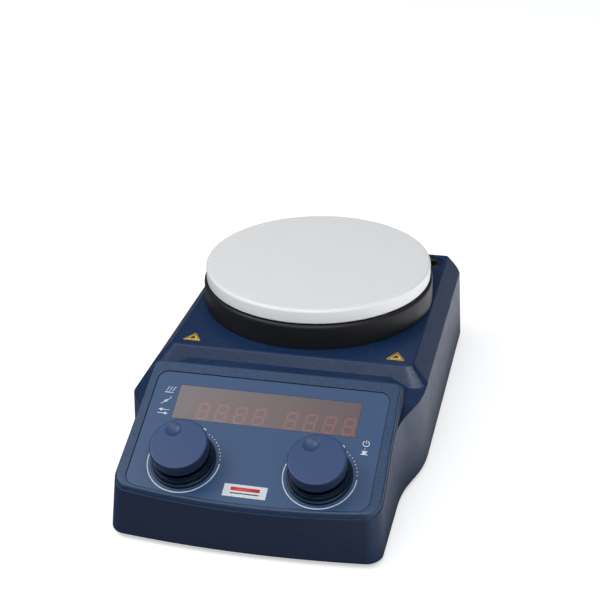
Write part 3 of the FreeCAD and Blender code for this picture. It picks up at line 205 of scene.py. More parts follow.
def finish(name, base, rough=0.45, metallic=0.0, vary=0.10, vary_scale=60.0, grain=0.0,
           grain_scale=3200.0, wave=0.0, wave_scale=14.0, bevel=0.25, edge_wear_highlight=0.12, specular=0.5,
           specular_tint=(1, 1, 1), coat=0.0, rough_vary=0.08, sheen=0.0, brush=None, dust=0.0,
           spark=0.0, far_tone=None, upright=None, front_shade=None, facet_highlight=None, opacity=None,
           clear_colour=None, glow=None, glow_strength=0.0):
    """A procedural surface.

    vary, rough_vary: slow change of colour and of roughness
    grain, wave: height of the fine grain and of the soft waviness
    bevel, edge: radius of rounded edges in mm, and how strongly they are lightened, partly as wear and partly as a
    painted highlight
    brush: noise scale along X, Y and Z for brushed or turned lines
    far_tone, upright, frontal, facet: colours towards +X, painted light (lighter tone) or painted
        shade (darker tone) on upright walls, painted shade on the wall that faces the front, and a
        painted highlight on the slanting face at the right end of the step
    """
    material, g = new_material(name)
    coords = g.add("TexCoord").outputs["Object"]

    # base colour with slow variation and fine speckle
    clouds = g.noise(coords, vary_scale, detail=3.0, roughness=0.55)
    fine = g.noise(coords, grain_scale, detail=2.0, roughness=0.6)
    colour = g.mix(clouds, shade(base, 1 - vary), shade(base, 1 + vary))
    contrast = min(1.0, grain * 4 + vary)
    speckle = g.grey(g.span(fine, 0.35, 0.65, 1.0 - 0.25 * contrast, 1.0 + 0.18 * contrast))
    colour = g.mix(1.0, colour, speckle, "MULTIPLY")

    def speckled(tone):
        return g.mix(1.0, shade(tone), speckle, "MULTIPLY")

    # other tones on some faces: a tone towards +X, and painted light and shade on upright walls, on the front wall
    # and on the slanting face
    if far_tone:
        colour = g.mix(g.span(g.axes(coords)["X"], *FADE_X, 0.0, 1.0), colour, speckled(far_tone))
    # painted light and shade: upright walls get the given tone, lighter as painted light, darker as painted shade
    if upright:
        mask = g.span(g.normal_axes()["Z"], 0.75, 0.25, 0.0, 1.0)
        colour = g.mix(mask, colour, speckled(upright))
    front_shade_mask = None
    # painted shade: the wall that faces the front gets a darker tone
    if front_shade:
        front_shade_mask = g.span(g.normal_axes()["Y"], -0.84, -0.95, 0.0, 1.0)
        colour = g.mix(front_shade_mask, colour, speckled(front_shade))
    # painted highlight: the slanting face at the right end of the step gets a lighter tone
    if facet_highlight:
        colour = g.mix(facet_highlight_mask(g), colour, speckled(facet_highlight))
    if spark:
        colour = add_sparkle(g, coords, colour, spark, front_shade_mask)

    # rounded edges lightened, partly as wear and partly as a painted highlight; and dust
    bump_inputs = {"Strength": 0.55, "Distance": 0.10 * MM}
    if bevel:
        rounded = g.add("Bevel", {"Radius": bevel * MM}, samples=4).outputs[0]
        colour = add_edge_wear_and_highlight(g, coords, colour, base, rounded, edge_wear_highlight)
        bump_inputs["Normal"] = rounded
    if dust:
        colour = add_dust(g, coords, colour, dust)

    # height of the relief
    height = g.multiply(fine, grain)
    if wave:
        height = g.math("ADD", height, g.multiply(g.noise(coords, wave_scale), wave * 8))
    if brush:
        stretched = g.add("Mapping", {"Vector": coords, "Scale": brush}).outputs[0]
        lines = g.noise(stretched, scale=1.0, detail=3.0, roughness=0.6)
        height = g.math("ADD", height, g.multiply(lines, 0.25))
        colour = g.mix(g.span(lines, 0.3, 0.7, 0.0, 0.22), colour, shade(base, 0.72))
    bump_inputs["Height"] = height
    bump = g.add("Bump", bump_inputs)

    rough_clouds = g.noise(coords, vary_scale * 2.3, detail=3.0, roughness=0.6)
    roughness = g.span(rough_clouds, 0.3, 0.7,
                       max(0.02, rough - rough_vary), min(1.0, rough + rough_vary))
    principled = g.add("BsdfPrincipled", {
        "Metallic": metallic,
        "Base Color": colour,
        "Roughness": roughness,
        "Normal": bump.outputs[0],
        "Specular IOR Level": specular,
        "Specular Tint": shade(specular_tint),
        "Coat Weight": coat,
        "Coat Roughness": 0.1,
        "Sheen Weight": sheen,
    })
    # emission here is a painted glow, not a lamp
    if glow:
        principled.inputs["Emission Color"].default_value = shade(glow)
        principled.inputs["Emission Strength"].default_value = glow_strength
    surface = principled.outputs[0]
    if opacity is not None:
        surface = see_through(g, surface, opacity, clear_colour)
    g.add("OutputMaterial", {0: surface})
    return material


# ---------------------------------------------------------------- materials
MATERIALS = {
    # housing and panel
    # housing: the frontal tone is painted shade on the wall that faces the front, the facet tone a painted
    # highlight on the slanting face at the right end of the step
    "housing": finish(
        "navy_spark_texture", (0.0036, 0.0190, 0.0640), rough=0.43, vary=0.10, vary_scale=45,
        grain=0.45, grain_scale=1700, bevel=0.5, edge_wear_highlight=0.0, rough_vary=0.04, dust=0.03,
        specular=0.34, spark=0.30, front_shade=(0.0087, 0.0172, 0.0430),
        facet_highlight=(0.066, 0.086, 0.136)),
    # bezel: the frontal tone is painted shade on the wall that faces the front
    "bezel": finish(
        "navy_frame", (0.0135, 0.0400, 0.0960), rough=0.42, vary=0.10, vary_scale=60,
        grain=0.5, grain_scale=1700, bevel=0.4, edge_wear_highlight=0.0, rough_vary=0.04, dust=0.03,
        specular=0.42, spark=0.22, front_shade=(0.0080, 0.0270, 0.0680)),
    "overlay": finish(
        "blue_print_film", (0.0260, 0.0625, 0.1440), rough=0.36, vary=0.05, vary_scale=25,
        grain=0.10, grain_scale=5200, bevel=0.15, edge_wear_highlight=0.05, rough_vary=0.03, wave=0.02,
        wave_scale=40, specular=0.45),
    "window": finish(
        "smoked_window", (0.262, 0.224, 0.227), rough=0.30, vary=0.06, vary_scale=30,
        grain=0.08, grain_scale=5200, bevel=0.10, edge_wear_highlight=0.05, rough_vary=0.03, opacity=0.66,
        clear_colour=(0.80, 0.60, 0.58), far_tone=(0.170, 0.124, 0.127)),
    "label": finish(
        "silver_label", (0.53, 0.545, 0.575), rough=0.30, vary=0.05, vary_scale=120,
        grain=0.05, bevel=0.1, edge_wear_highlight=0.1, metallic=0.2),
    "sticker": finish(
        "yellow_print", (0.62, 0.40, 0.060), rough=0.40, vary=0.06, vary_scale=260,
        grain=0.05, bevel=0.05, edge_wear_highlight=0.1),
    # printing
    "ink_dark": finish(
        "dark_print", (0.035, 0.030, 0.022), rough=0.5, vary=0.1, vary_scale=300, bevel=0,
        grain=0.05),
    "ink_white": finish(
        "white_print", (0.52, 0.58, 0.66), rough=0.45, vary=0.06, vary_scale=400, bevel=0,
        grain=0.05),
    "ink_bright": finish(
        "bright_print", (0.60, 0.65, 0.71), rough=0.45, vary=0.05, vary_scale=400, bevel=0,
        grain=0.05),
    "ink_red": finish(
        "red_print", (0.55, 0.035, 0.030), rough=0.4, vary=0.06, vary_scale=400, bevel=0,
        grain=0.05),
    # base, plate and drive
    "zinc_sheet": finish(
        "zinc_sheet_metal", (0.56, 0.57, 0.58), rough=0.34, metallic=1.0, vary=0.10,
        vary_scale=160, grain=0.15, grain_scale=1500, bevel=0.15, edge_wear_highlight=0.2,
        brush=(60, 1400, 60)),
    "rubber": finish(
        "rubber_black", (0.018, 0.018, 0.019), rough=0.78, vary=0.15, vary_scale=200,
        grain=0.5, grain_scale=2600, bevel=0.3, edge_wear_highlight=0.1, dust=0.1),
    "screw_steel": finish(
        "plated_screw", (0.60, 0.60, 0.61), rough=0.28, metallic=1.0, vary=0.08,
        vary_scale=500, grain=0.1, bevel=0.12, edge_wear_highlight=0.2),
    # white plate: the upright tone is painted light, making the rim lighter than the top
    "white_plate": finish(
        "white_ceramic_coat", (0.70, 0.697, 0.690), rough=0.40, vary=0.010, vary_scale=22,
        grain=0.06, grain_scale=2300, bevel=0.0, edge_wear_highlight=0.0, rough_vary=0.04, specular=0.45,
        upright=(0.93, 0.93, 0.94)),
    "heater": finish(
        "mica_heater", (0.36, 0.31, 0.22), rough=0.45, metallic=0.3, vary=0.2, vary_scale=120,
        grain=0.2, bevel=0.1, edge_wear_highlight=0.1),
    "insulation": finish(
        "mineral_fibre", (0.74, 0.71, 0.62), rough=0.95, vary=0.12, vary_scale=260, grain=1.2,
        grain_scale=700, bevel=0.5, edge_wear_highlight=0.0, sheen=0.3),
    "steel": finish(
        "turned_steel", (0.58, 0.58, 0.59), rough=0.25, metallic=1.0, vary=0.07,
        vary_scale=300, grain=0.08, bevel=0.12, edge_wear_highlight=0.2, brush=(80, 80, 2600)),
    "black_skirt": finish(
        "black_powder_coat", (0.0105, 0.0105, 0.0112), rough=0.46, vary=0.12, vary_scale=50,
        grain=0.45, grain_scale=2000, bevel=0.0, edge_wear_highlight=0.0, rough_vary=0.05, specular=0.30),
    "motor_metal": finish(
        "motor_shell", (0.52, 0.53, 0.54), rough=0.38, metallic=1.0, vary=0.10,
        vary_scale=120, grain=0.4, grain_scale=1400, bevel=0.2, edge_wear_highlight=0.15),
    "stator_iron": finish(
        "laminated_iron", (0.24, 0.24, 0.25), rough=0.5, metallic=0.9, vary=0.12,
        vary_scale=200, grain=0.2, bevel=0.12, edge_wear_highlight=0.2, brush=(60, 60, 2200)),
    "carrier_plastic": finish(
        "milled_aluminium", (0.62, 0.63, 0.64), rough=0.32, metallic=1.0, vary=0.06,
        vary_scale=200, grain=0.1, bevel=0.2, edge_wear_highlight=0.2, brush=(900, 60, 60)),
    "magnet": finish(
        "nickel_magnet", (0.70, 0.69, 0.66), rough=0.16, metallic=1.0, vary=0.05,
        vary_scale=300, grain=0.04, bevel=0.1, edge_wear_highlight=0.2),
    # dials, boards and small parts
    # dials: the upright tone is painted shade, making the sides darker than the face
    "knob": finish(
        "blue_dial", (0.0170, 0.0460, 0.1300), rough=0.42, vary=0.06, vary_scale=70,
        grain=0.14, grain_scale=2400, bevel=0.0, edge_wear_highlight=0.0, rough_vary=0.04, dust=0.02,
        specular=0.42, upright=(0.0060, 0.0190, 0.0610)),
    "black_plastic": finish(
        "black_moulding", (0.0016, 0.0045, 0.0135), rough=0.34, vary=0.10, vary_scale=150,
        grain=0.10, grain_scale=2400, bevel=0.15, edge_wear_highlight=0.0, specular=0.30,
        specular_tint=(0.45, 0.72, 1.0)),
    "aluminium": finish(
        "extruded_aluminium", (0.66, 0.67, 0.68), rough=0.34, metallic=1.0, vary=0.06,
        vary_scale=200, grain=0.1, bevel=0.15, edge_wear_highlight=0.2, brush=(60, 60, 1600)),
    "board": finish(
        "green_board", (0.020, 0.135, 0.060), rough=0.32, vary=0.18, vary_scale=420,
        grain=0.12, bevel=0.1, edge_wear_highlight=0.25, coat=0.3),
    "display_module": finish(
        "segment_module", (0.085, 0.060, 0.058), rough=0.45, vary=0.08, vary_scale=120,
        grain=0.15, bevel=0.15, edge_wear_highlight=0.1),
    # display segments: the glow is painted light; the segments are unlit
    "segments": finish(
        "segment_bars_painted_glow", (0.420, 0.120, 0.100), rough=0.5, vary=0.06, vary_scale=300,
        grain=0.10, bevel=0.0, edge_wear_highlight=0.0, glow=(1.0, 0.42, 0.38), glow_strength=0.36),
    "white_plastic": finish(
        "white_moulding", (0.70, 0.70, 0.66), rough=0.45, vary=0.05, vary_scale=150,
        grain=0.15, bevel=0.2, edge_wear_highlight=0.08),
    "copper": finish(
        "enamelled_copper", (0.50, 0.20, 0.085), rough=0.30, metallic=0.85, vary=0.12,
        vary_scale=260, grain=0.1, bevel=0.2, edge_wear_highlight=0.15, brush=(60, 60, 3400)),
    "capacitor": finish(
        "sleeve_blue", (0.020, 0.030, 0.075), rough=0.28, vary=0.08, vary_scale=200,
        grain=0.08, bevel=0.2, edge_wear_highlight=0.15, coat=0.3),
    "brass": finish(
        "plated_contact", (0.62, 0.50, 0.28), rough=0.22, metallic=1.0, vary=0.08,
        vary_scale=400, grain=0.06, bevel=0.1, edge_wear_highlight=0.2),
    "fuse_glass": finish(
        "fuse_tube", (0.62, 0.65, 0.66), rough=0.10, vary=0.04, vary_scale=300, grain=0.02,
        bevel=0.1, edge_wear_highlight=0.1, coat=0.6),
    "rocker_green": finish(
        "rocker_black", (0.011, 0.011, 0.012), rough=0.26, vary=0.08, vary_scale=200,
        grain=0.06, bevel=0.25, edge_wear_highlight=0.12, coat=0.25),
    "dark_steel": finish(
        "blackened_steel", (0.045, 0.050, 0.058), rough=0.36, metallic=0.8, vary=0.12,
        vary_scale=260, grain=0.15, bevel=0.2, edge_wear_highlight=0.2),
    "wire": finish(
        "wire_insulation", (0.24, 0.080, 0.035), rough=0.5, vary=0.10, vary_scale=260,
        grain=0.12, bevel=0.0, edge_wear_highlight=0.0),
    "cable": finish(
        "grey_cable", (0.25, 0.25, 0.26), rough=0.5, vary=0.08, vary_scale=260, grain=0.12,
        bevel=0.0, edge_wear_highlight=0.0, brush=(900, 30, 30)),
}

for part in frame["record"]["subparts"]:
    part_materials = frame["nodes"][part["node"]].data.materials
    part_materials.clear()
    part_materials.append(MATERIALS[part["material_slot"]])


# ---------------------------------------------------------------- mesh helpers
def add_piece(name, bm, material, smooth=0, body="housing"):
    """Makes an object from a bmesh. Edges sharper than smooth degrees stay sharp, 0 marks none."""
    bmesh.ops.remove_doubles(bm, verts=bm.verts, dist=1e-7)
    bmesh.ops.recalc_face_normals(bm, faces=bm.faces)
    for face in bm.faces:
        face.smooth = True
    mesh = bpy.data.meshes.new(name)
    bm.to_mesh(mesh)
    bm.free()
    piece = bpy.data.objects.new(name, mesh)
    scene.collection.objects.link(piece)
    mesh.materials.append(MATERIALS[material])
    if smooth:
        mesh.set_sharp_from_angle(angle=math.radians(smooth))
    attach(piece, body)
    return piece


def arc(cx, cy, r, start, end, steps):
    """Points of an arc, angles in degrees."""
    angles = [math.radians(start + (end - start) * i / steps) for i in range(steps + 1)]
    return [(cx + r * math.cos(a), cy + r * math.sin(a)) for a in angles]


def bridge_rings(bm, rings):
    """Joins each ring of vertices to the next and the last to the first; a ring may be a point."""
    segments = max(len(ring) for ring in rings)
    for a, b in zip(rings, rings[1:] + rings[:1]):
        if len(a) == 1 and len(b) == 1:
            continue
        for k in range(segments):
            j = (k + 1) % segments
            if len(a) == 1:
                bm.faces.new((a[0], b[k], b[j]))
            elif len(b) == 1:
                bm.faces.new((a[k], b[0], a[j]))
            else:
                bm.faces.new((a[k], b[k], b[j], a[j]))


def lathe(bm, profile, placing, segments):
    """Turns a closed (radius, height) profile in mm about the Z of the placing matrix."""
    rings = []
    for r, z in profile:
        count = 1 if r < 1e-6 else segments
        ring = []
        for k in range(count):
            angle = 2 * math.pi * k / segments
            point = Vector((r * MM * math.cos(angle), r * MM * math.sin(angle), z * MM))
            ring.append(bm.verts.new(placing @ point))
        rings.append(ring)
    bridge_rings(bm, rings)


def slab(bm, outline, h0, h1, place):
    """A flat solid from an outline. place(x, y, h) gives the point."""
    n = len(outline)
    low = [bm.verts.new(place(x, y, h0)) for x, y in outline]
    top = [bm.verts.new(place(x, y, h1)) for x, y in outline]
    for i in range(n):
        j = (i + 1) % n
        bm.faces.new((low[i], low[j], top[j], top[i]))
    bm.faces.new(list(reversed(low)))
    bm.faces.new(top)


def stroke(bm, points, width, h0, h1, place, closed=False):
    """A line of even width along points, as a thin solid with square ends."""
    n = len(points)
    left, right = [], []
    for i, (x, y) in enumerate(points):
        if closed:
            before, after = points[i - 1], points[(i + 1) % n]
        else:
            before, after = points[max(0, i - 1)], points[min(n - 1, i + 1)]
        along = Vector((after[0] - before[0], after[1] - before[1]))
        along.normalize()
        left.append((x - along.y * width / 2, y + along.x * width / 2))
        right.append((x + along.y * width / 2, y - along.x * width / 2))
    first, second = (left, right) if closed else (right, left)
    rows = [
        [bm.verts.new(place(x, y, h)) for x, y in side]
        for side, h in ((first, h0), (first, h1), (second, h1), (second, h0))
    ]
    for a, b in zip(rows, rows[1:] + rows[:1]):
        for i in range(n if closed else n - 1):
            j = (i + 1) % n
            bm.faces.new((a[i], a[j], b[j], b[i]))
    if not closed:
        bm.faces.new([row[0] for row in rows])
        bm.faces.new([row[-1] for row in reversed(rows)])


def disc(bm, x, y, r, h0, h1, place, n):
    slab(bm, arc(x, y, r, 0, 360 - 360 / n, n - 1), h0, h1, place)


def ink_line(bm, points, width):
    """A printed line on the film."""
    stroke(bm, points, width, 0.0, INK, on_film)


def ink_dot(bm, x, s, r, n, top=INK):
    """A printed dot on the film."""
    disc(bm, x, s, r, 0.0, top, on_film, n)


def rounded_rect(x0, x1, y0, y1, r, n=6):
    return (arc(x1 - r, y0 + r, r, -90, 0, n) + arc(x1 - r, y1 - r, r, 0, 90, n)
            + arc(x0 + r, y1 - r, r, 90, 180, n) + arc(x0 + r, y0 + r, r, 180, 270, n))


# ---------------------------------------------------------------- heating plate and its skirt
def turned_size(part):
    """Radius, top and bottom in mm of a round upright CAD part."""
    low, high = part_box(part)
    return (high.x - low.x) / 2 / MM, high.z / MM, low.z / MM


PLATE_SEGMENTS = 320
plate_low, plate_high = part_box("heating_plate")
PLATE_AXIS = Matrix.Translation(Vector(
    ((plate_low.x + plate_high.x) / 2, (plate_low.y + plate_high.y) / 2, 0)))
PLATE_R, PLATE_TOP, PLATE_BOTTOM = turned_size("heating_plate")
SKIRT_R, SKIRT_TOP, SKIRT_BOTTOM = turned_size("plate_skirt")
DECK_Z = SKIRT_BOTTOM + 3.0


def heating_plate():
    top_round, foot_round = 1.7, 0.6
    wall, under = PLATE_R - 3.0, PLATE_BOTTOM + 3.5
    profile = [(r, PLATE_TOP) for r in (0, 12, 24, 36, 48, 56, 62)]
    profile += arc(PLATE_R - top_round, PLATE_TOP - top_round, top_round, 90, 0, 12)
    profile += arc(PLATE_R - foot_round, PLATE_BOTTOM + foot_round, foot_round, 0, -90, 6)
    profile += [(wall, PLATE_BOTTOM), (wall, under), (12.0, under), (0, under)]
    bm = bmesh.new()
    lathe(bm, profile, PLATE_AXIS, PLATE_SEGMENTS)
    plate = add_piece("white_plate_top", bm, "white_plate", smooth=50)
    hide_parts("heating_plate")


def plate_skirt():
    """A ring with a flange that goes down inside the deck opening and a ledge under the plate."""
    flange_in, flange_out = SKIRT_R - 16.5, SKIRT_R - 14.2
    foot = DECK_Z + 0.02
    foot_round, shoulder, lip = 0.5, 2.0, 0.4
    profile = [(flange_in, SKIRT_BOTTOM), (flange_out, SKIRT_BOTTOM), (flange_out, foot)]
    profile += [(SKIRT_R - foot_round, foot)]
    profile += arc(SKIRT_R - foot_round, foot + foot_round, foot_round, -90, 0, 5)
    profile += [(SKIRT_R, DECK_Z + 4), (SKIRT_R, DECK_Z + 9)]
    profile += arc(SKIRT_R - shoulder, SKIRT_TOP - shoulder, shoulder, 0, 90, 14)
    profile += arc(SKIRT_R - 2.6, SKIRT_TOP - lip, lip, 90, 180, 5)
    profile += [
        (SKIRT_R - 3.0, SKIRT_TOP - 4.0), (SKIRT_R - 9.0, SKIRT_TOP - 4.0),
        (SKIRT_R - 9.0, SKIRT_TOP - 6.0), (SKIRT_R - 3.6, SKIRT_TOP - 6.0),
        (SKIRT_R - 3.6, DECK_Z + 2.0), (flange_in, DECK_Z + 2.0),
    ]
    bm = bmesh.new()
    lathe(bm, profile, PLATE_AXIS, PLATE_SEGMENTS)
    skirt = add_piece("plate_skirt_ring", bm, "black_skirt", smooth=40)
    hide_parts("plate_skirt")


heating_plate()
plate_skirt()

# ---------------------------------------------------------------- dials and collars
DIAL_R, DIAL_TOP, DIAL_BOTTOM = 15.1, 15.9, 8.0
RIM_ROUND = 1.1
FACE_R = DIAL_R - RIM_ROUND
CROWN = 0.12                            # fall of the face from middle to rim
DIMPLE_X, DIMPLE_S = -4.4, 8.1          # from the dial centre
DIMPLE_R, DIMPLE_DEPTH, DIMPLE_LIP = 4.45, 1.45, 0.55
DIAL_SEGMENTS, FACE_RINGS = 256, 110


def dial_face_h(x, s):
    """Height of the face: a slight crown, with a bowl that meets it through a soft lip."""
    crown = DIAL_TOP - CROWN * (math.hypot(x, s) / FACE_R) ** 2
    distance = math.hypot(x - DIMPLE_X, s - DIMPLE_S)
    bowl = DIMPLE_DEPTH * max(0.0, 1 - (distance / DIMPLE_R) ** 2)
    t = min(1.0, max(0.0, (DIMPLE_R + DIMPLE_LIP - distance) / (2 * DIMPLE_LIP)))
    soft = t * t * (3 - 2 * t)
    return crown - bowl * soft - 0.05 * soft * (1 - soft)


def dial(label):
    """A dial cap: face with a finger dimple, rounded rim, tapered side, hollow back with a hub."""
    bm = bmesh.new()

    def ring(r, height_at):
        points = []
        for k in range(DIAL_SEGMENTS if r else 1):
            angle = 2 * math.pi * k / DIAL_SEGMENTS
            x, s = r * math.cos(angle), r * math.sin(angle)
            points.append(bm.verts.new(on_panel(x, s, height_at(x, s), KNOB[label])))
        return points

    rings = [ring(FACE_R * (i / FACE_RINGS), dial_face_h) for i in range(FACE_RINGS + 1)]

    # (radius, height) from the rim round to the middle of the back
    profile = []
    for degrees in (12, 24, 36, 48, 60, 72, 84, 90):
        a = math.radians(degrees)
        profile.append((FACE_R + RIM_ROUND * math.sin(a),
                        DIAL_TOP - CROWN - RIM_ROUND + RIM_ROUND * math.cos(a)))
    profile += [(DIAL_R - 0.06, DIAL_TOP - 3.0), (DIAL_R - 0.16, DIAL_TOP - 5.0),
                (DIAL_R - 0.26, DIAL_BOTTOM + 1.0)]
    foot_round = 0.45
    profile += arc(DIAL_R - 0.30 - foot_round, DIAL_BOTTOM + foot_round, foot_round, 0, -90, 3)
    profile += [
        (12.7, DIAL_BOTTOM), (12.6, DIAL_BOTTOM + 0.1), (12.6, 12.6), (12.5, 12.7),
        (5.7, 12.7), (5.6, 12.6), (5.6, 5.7), (5.5, 5.6),
        (3.2, 5.6), (3.1, 5.7), (3.1, 12.72), (0.0, 12.72),
    ]
    rings += [ring(r, lambda x, s, h=h: h) for r, h in profile]
    bridge_rings(bm, rings)
    cap = add_piece(label + "_dial", bm, "knob", smooth=50, body=label + "_dial")
    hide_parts(label + "_knob_cap")


def dial_collars():
    """Stepped collars under the dials."""
    profile = [(8.2, FILM_H), (17.0, FILM_H)] + arc(16.6, 0.75, 0.4, 0, 90, 5)
    profile += [(16.2, 1.25), (16.0, 1.35), (15.95, 2.0), (15.75, 3.2)]
    profile += arc(15.35, 3.55, 0.32, 0, 90, 5) + [(15.0, 3.9), (14.9, 4.3)]
    profile += arc(14.65, 4.85, 0.25, 0, 90, 4) + arc(14.35, 4.85, 0.25, 90, 180, 4)
    profile += [(14.1, 4.2), (11.8, 4.2), (11.6, 4.4)]
    profile += arc(11.3, 5.9, 0.3, 0, 90, 4) + [(8.4, 6.2), (8.2, 6.0)]
    bm = bmesh.new()
    for label in ("heat", "stir"):
        lathe(bm, profile, Matrix.Translation(KNOB[label]) @ PANEL_TURN, 224)
    collars = add_piece("dial_collars", bm, "black_plastic", smooth=30)
    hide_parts("knob_collars")


dial("heat")
dial("stir")
dial_collars()


# ---------------------------------------------------------------- printing on the film
def dial_arcs():
    bm = bmesh.new()
    for side in (-1, 1):
        ink_line(bm, arc(side * KNOB_X, KNOB_S, 19.0, 0.9, -206.0, 120), 0.62)
    add_piece("dial_arcs", bm, "ink_white")


def dial_scale(bm, cx, dots, mark_angle):
    """Dots that go on from the arc, and a small mark beyond them: a short bar with a foot."""
    for k in range(dots):
        a = math.radians(8.4 + 6.6 * k)
        r = 18.9 + 0.075 * k
        ink_dot(bm, cx + r * math.cos(a), KNOB_S + r * math.sin(a), 0.34, 16)
    a = math.radians(mark_angle)
    ux, uy = math.cos(a), math.sin(a)

    def mark(around, outward):
        r = 21.2 + outward
        return cx + r * ux - around * uy, KNOB_S + r * uy + around * ux

    ink_line(bm, [mark(0.75, 0), mark(0, 0), mark(-0.75, 0)], 0.60)
    ink_line(bm, [mark(-0.75, 0), mark(-0.90, -0.8)], 0.45)


def heating_symbol(bm):
    """Three rising waves over a bar."""
    for k in range(3):
        x0 = -57.0 + 1.75 * k
        wave = []
        for i in range(25):
            t = i / 24
            x = x0 + 0.75 + 0.19 * math.sin(2 * math.pi * t) + 1.45 * (t - 0.5)
            wave.append((x, 65.3 + 2.8 * t))
        ink_line(bm, wave, 0.34)
    ink_line(bm, [(-57.5, 64.25), (-52.6, 64.25)], 0.5)


def stirring_symbol(bm):
    """A tilted stirring bar with a hub and a curved tail."""
    a = math.radians(42)
    ca, sa = math.cos(a), math.sin(a)

    def tilt(points):
        return [(-55.2 + u * ca - w * sa, 58.8 + u * sa + w * ca) for u, w in points]

    # (along the bar, across it)
    bar = [
        (-3.3, -0.20), (-1.2, -0.26), (-0.7, -0.76), (0.3, -0.80), (0.9, -0.24), (2.0, -0.17),
        (2.0, 0.19), (0.9, 0.26), (0.3, 0.80), (-0.7, 0.76), (-1.2, 0.26), (-3.3, 0.20),
    ]
    slab(bm, tilt(bar), 0.0, INK, on_film)
    ink_line(bm, tilt([(1.9, 0.0), (2.5, 0.05), (3.0, 0.35), (3.4, 0.85)]), 0.40)


def adjusting_symbol(bm):
    """Two short sliders."""
    for s, knob_x in ((53.0, -56.4), (50.7, -53.6)):
        ink_line(bm, [(-58.0, s), (-51.9, s)], 0.42)
        ink_dot(bm, knob_x, s, 0.85, 20, top=INK + 0.01)


def power_symbols(bm):
    """The power symbol, with a dot and a push button pictogram under it."""
    x, s = 55.9, 45.4
    ink_line(bm, arc(x, s, 1.65, 60, -240, 32), 0.42)
    ink_line(bm, [(x, 45.5), (x, 47.6)], 0.42)
    ink_dot(bm, 55.8, 42.2, 0.28, 14)
    button = [
        (53.9, 38.6), (57.9, 38.6), (57.7, 39.1), (56.9, 39.6), (57.0, 40.3),
        (57.7, 41.0), (54.1, 41.0), (54.8, 40.3), (54.9, 39.6), (54.1, 39.1),
    ]
    slab(bm, button, 0.0, INK, on_film)


def panel_symbols():
    bm = bmesh.new()
    dial_scale(bm, -KNOB_X, dots=9, mark_angle=73.6)
    dial_scale(bm, KNOB_X, dots=8, mark_angle=66.2)
    heating_symbol(bm)
    stirring_symbol(bm)
    adjusting_symbol(bm)
    power_symbols(bm)
    add_piece("panel_symbols", bm, "ink_bright")


dial_arcs()
panel_symbols()

# ---------------------------------------------------------------- display behind the window
SEGMENT_H, SEGMENT_THICK = -3.2, 0.25
DIGIT_W, DIGIT_H, DIGIT_PITCH, DIGIT_SLANT = 6.4, 10.8, 10.3, 0.10
BAR, BAR_GAP = 1.1, 0.18
DIGIT_S = 56.2


def digit(bm, cx):
    """Seven pointed bars and a point of one figure."""
    def place(x, y, h):
        return on_panel(cx + x + DIGIT_SLANT * y, DIGIT_S + y, SEGMENT_H + h)

    half_w, half_h, half_bar = DIGIT_W / 2, DIGIT_H / 2, BAR / 2
    tip = half_w - half_bar - BAR_GAP
    for y in (half_h - half_bar, 0, -half_h + half_bar):
        bar = [(-tip, y), (-tip + half_bar, y - half_bar), (tip - half_bar, y - half_bar),
               (tip, y), (tip - half_bar, y + half_bar), (-tip + half_bar, y + half_bar)]
        slab(bm, bar, 0.0, SEGMENT_THICK, place)
    near, far = BAR_GAP + 0.1, half_h - half_bar - BAR_GAP
    for x in (-half_w + half_bar, half_w - half_bar):
        for y0, y1 in ((near, far), (-far, -near)):
            bar = [(x, y0), (x + half_bar, y0 + half_bar), (x + half_bar, y1 - half_bar),
                   (x, y1), (x - half_bar, y1 - half_bar), (x - half_bar, y0 + half_bar)]
            slab(bm, bar, 0.0, SEGMENT_THICK, place)
    disc(bm, half_w + 0.9, -half_h + 0.5, 0.5, 0.0, SEGMENT_THICK, place, 12)


def display_segments():
    bm = bmesh.new()
    for first_x in (-34.6, 13.7):
        for k in range(4):
            digit(bm, first_x + DIGIT_PITCH * k)
    add_piece("display_segments", bm, "segments")


display_segments()


# ---------------------------------------------------------------- bars on the label between dials
def label_strip(name, material, s0, s1, r):
    bm = bmesh.new()
    slab(bm, rounded_rect(-7.6, 7.6, s0, s1, r), 0.15, 0.20, on_film)
    add_piece(name, bm, material)


label_strip("label_bar", "ink_red", 9.3, 11.3, 0.3)
label_strip("label_line", "ink_dark", 7.5, 8.1, 0.15)


# ---------------------------------------------------------------- triangles on the deck
def on_deck(x, y, h):
    return Vector((x * MM, y * MM, (DECK_Z + h) * MM))


def triangle(cx, cy, size, r):
    """A rounded triangle pointing to the rear; size is from the middle to each sharp corner."""
    outline = []
    for angle in (-150, -30, 90):
        reach, a = size - 2 * r, math.radians(angle)
        outline += arc(cx + reach * math.cos(a), cy + reach * math.sin(a), r,
                       angle - 60, angle + 60, 6)
    return outline


def deck_triangles():
    """Yellow triangles with a dark border line and a dark middle."""
    yellow, dark = bmesh.new(), bmesh.new()
    cy = -10.4
    for cx in (-59.0, 59.0):
        slab(yellow, triangle(cx, cy, 6.2, 0.6), 0.01, 0.12, on_deck)
        stroke(dark, triangle(cx, cy, 4.9, 0.35), 0.34, 0.11, 0.15, on_deck, closed=True)
        slab(dark, triangle(cx, cy - 0.1, 2.3, 0.25), 0.11, 0.15, on_deck)
    stickers = add_piece("deck_triangles", yellow, "sticker")
    add_piece("deck_triangle_lines", dark, "ink_dark")
    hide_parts("deck_stickers")


deck_triangles()


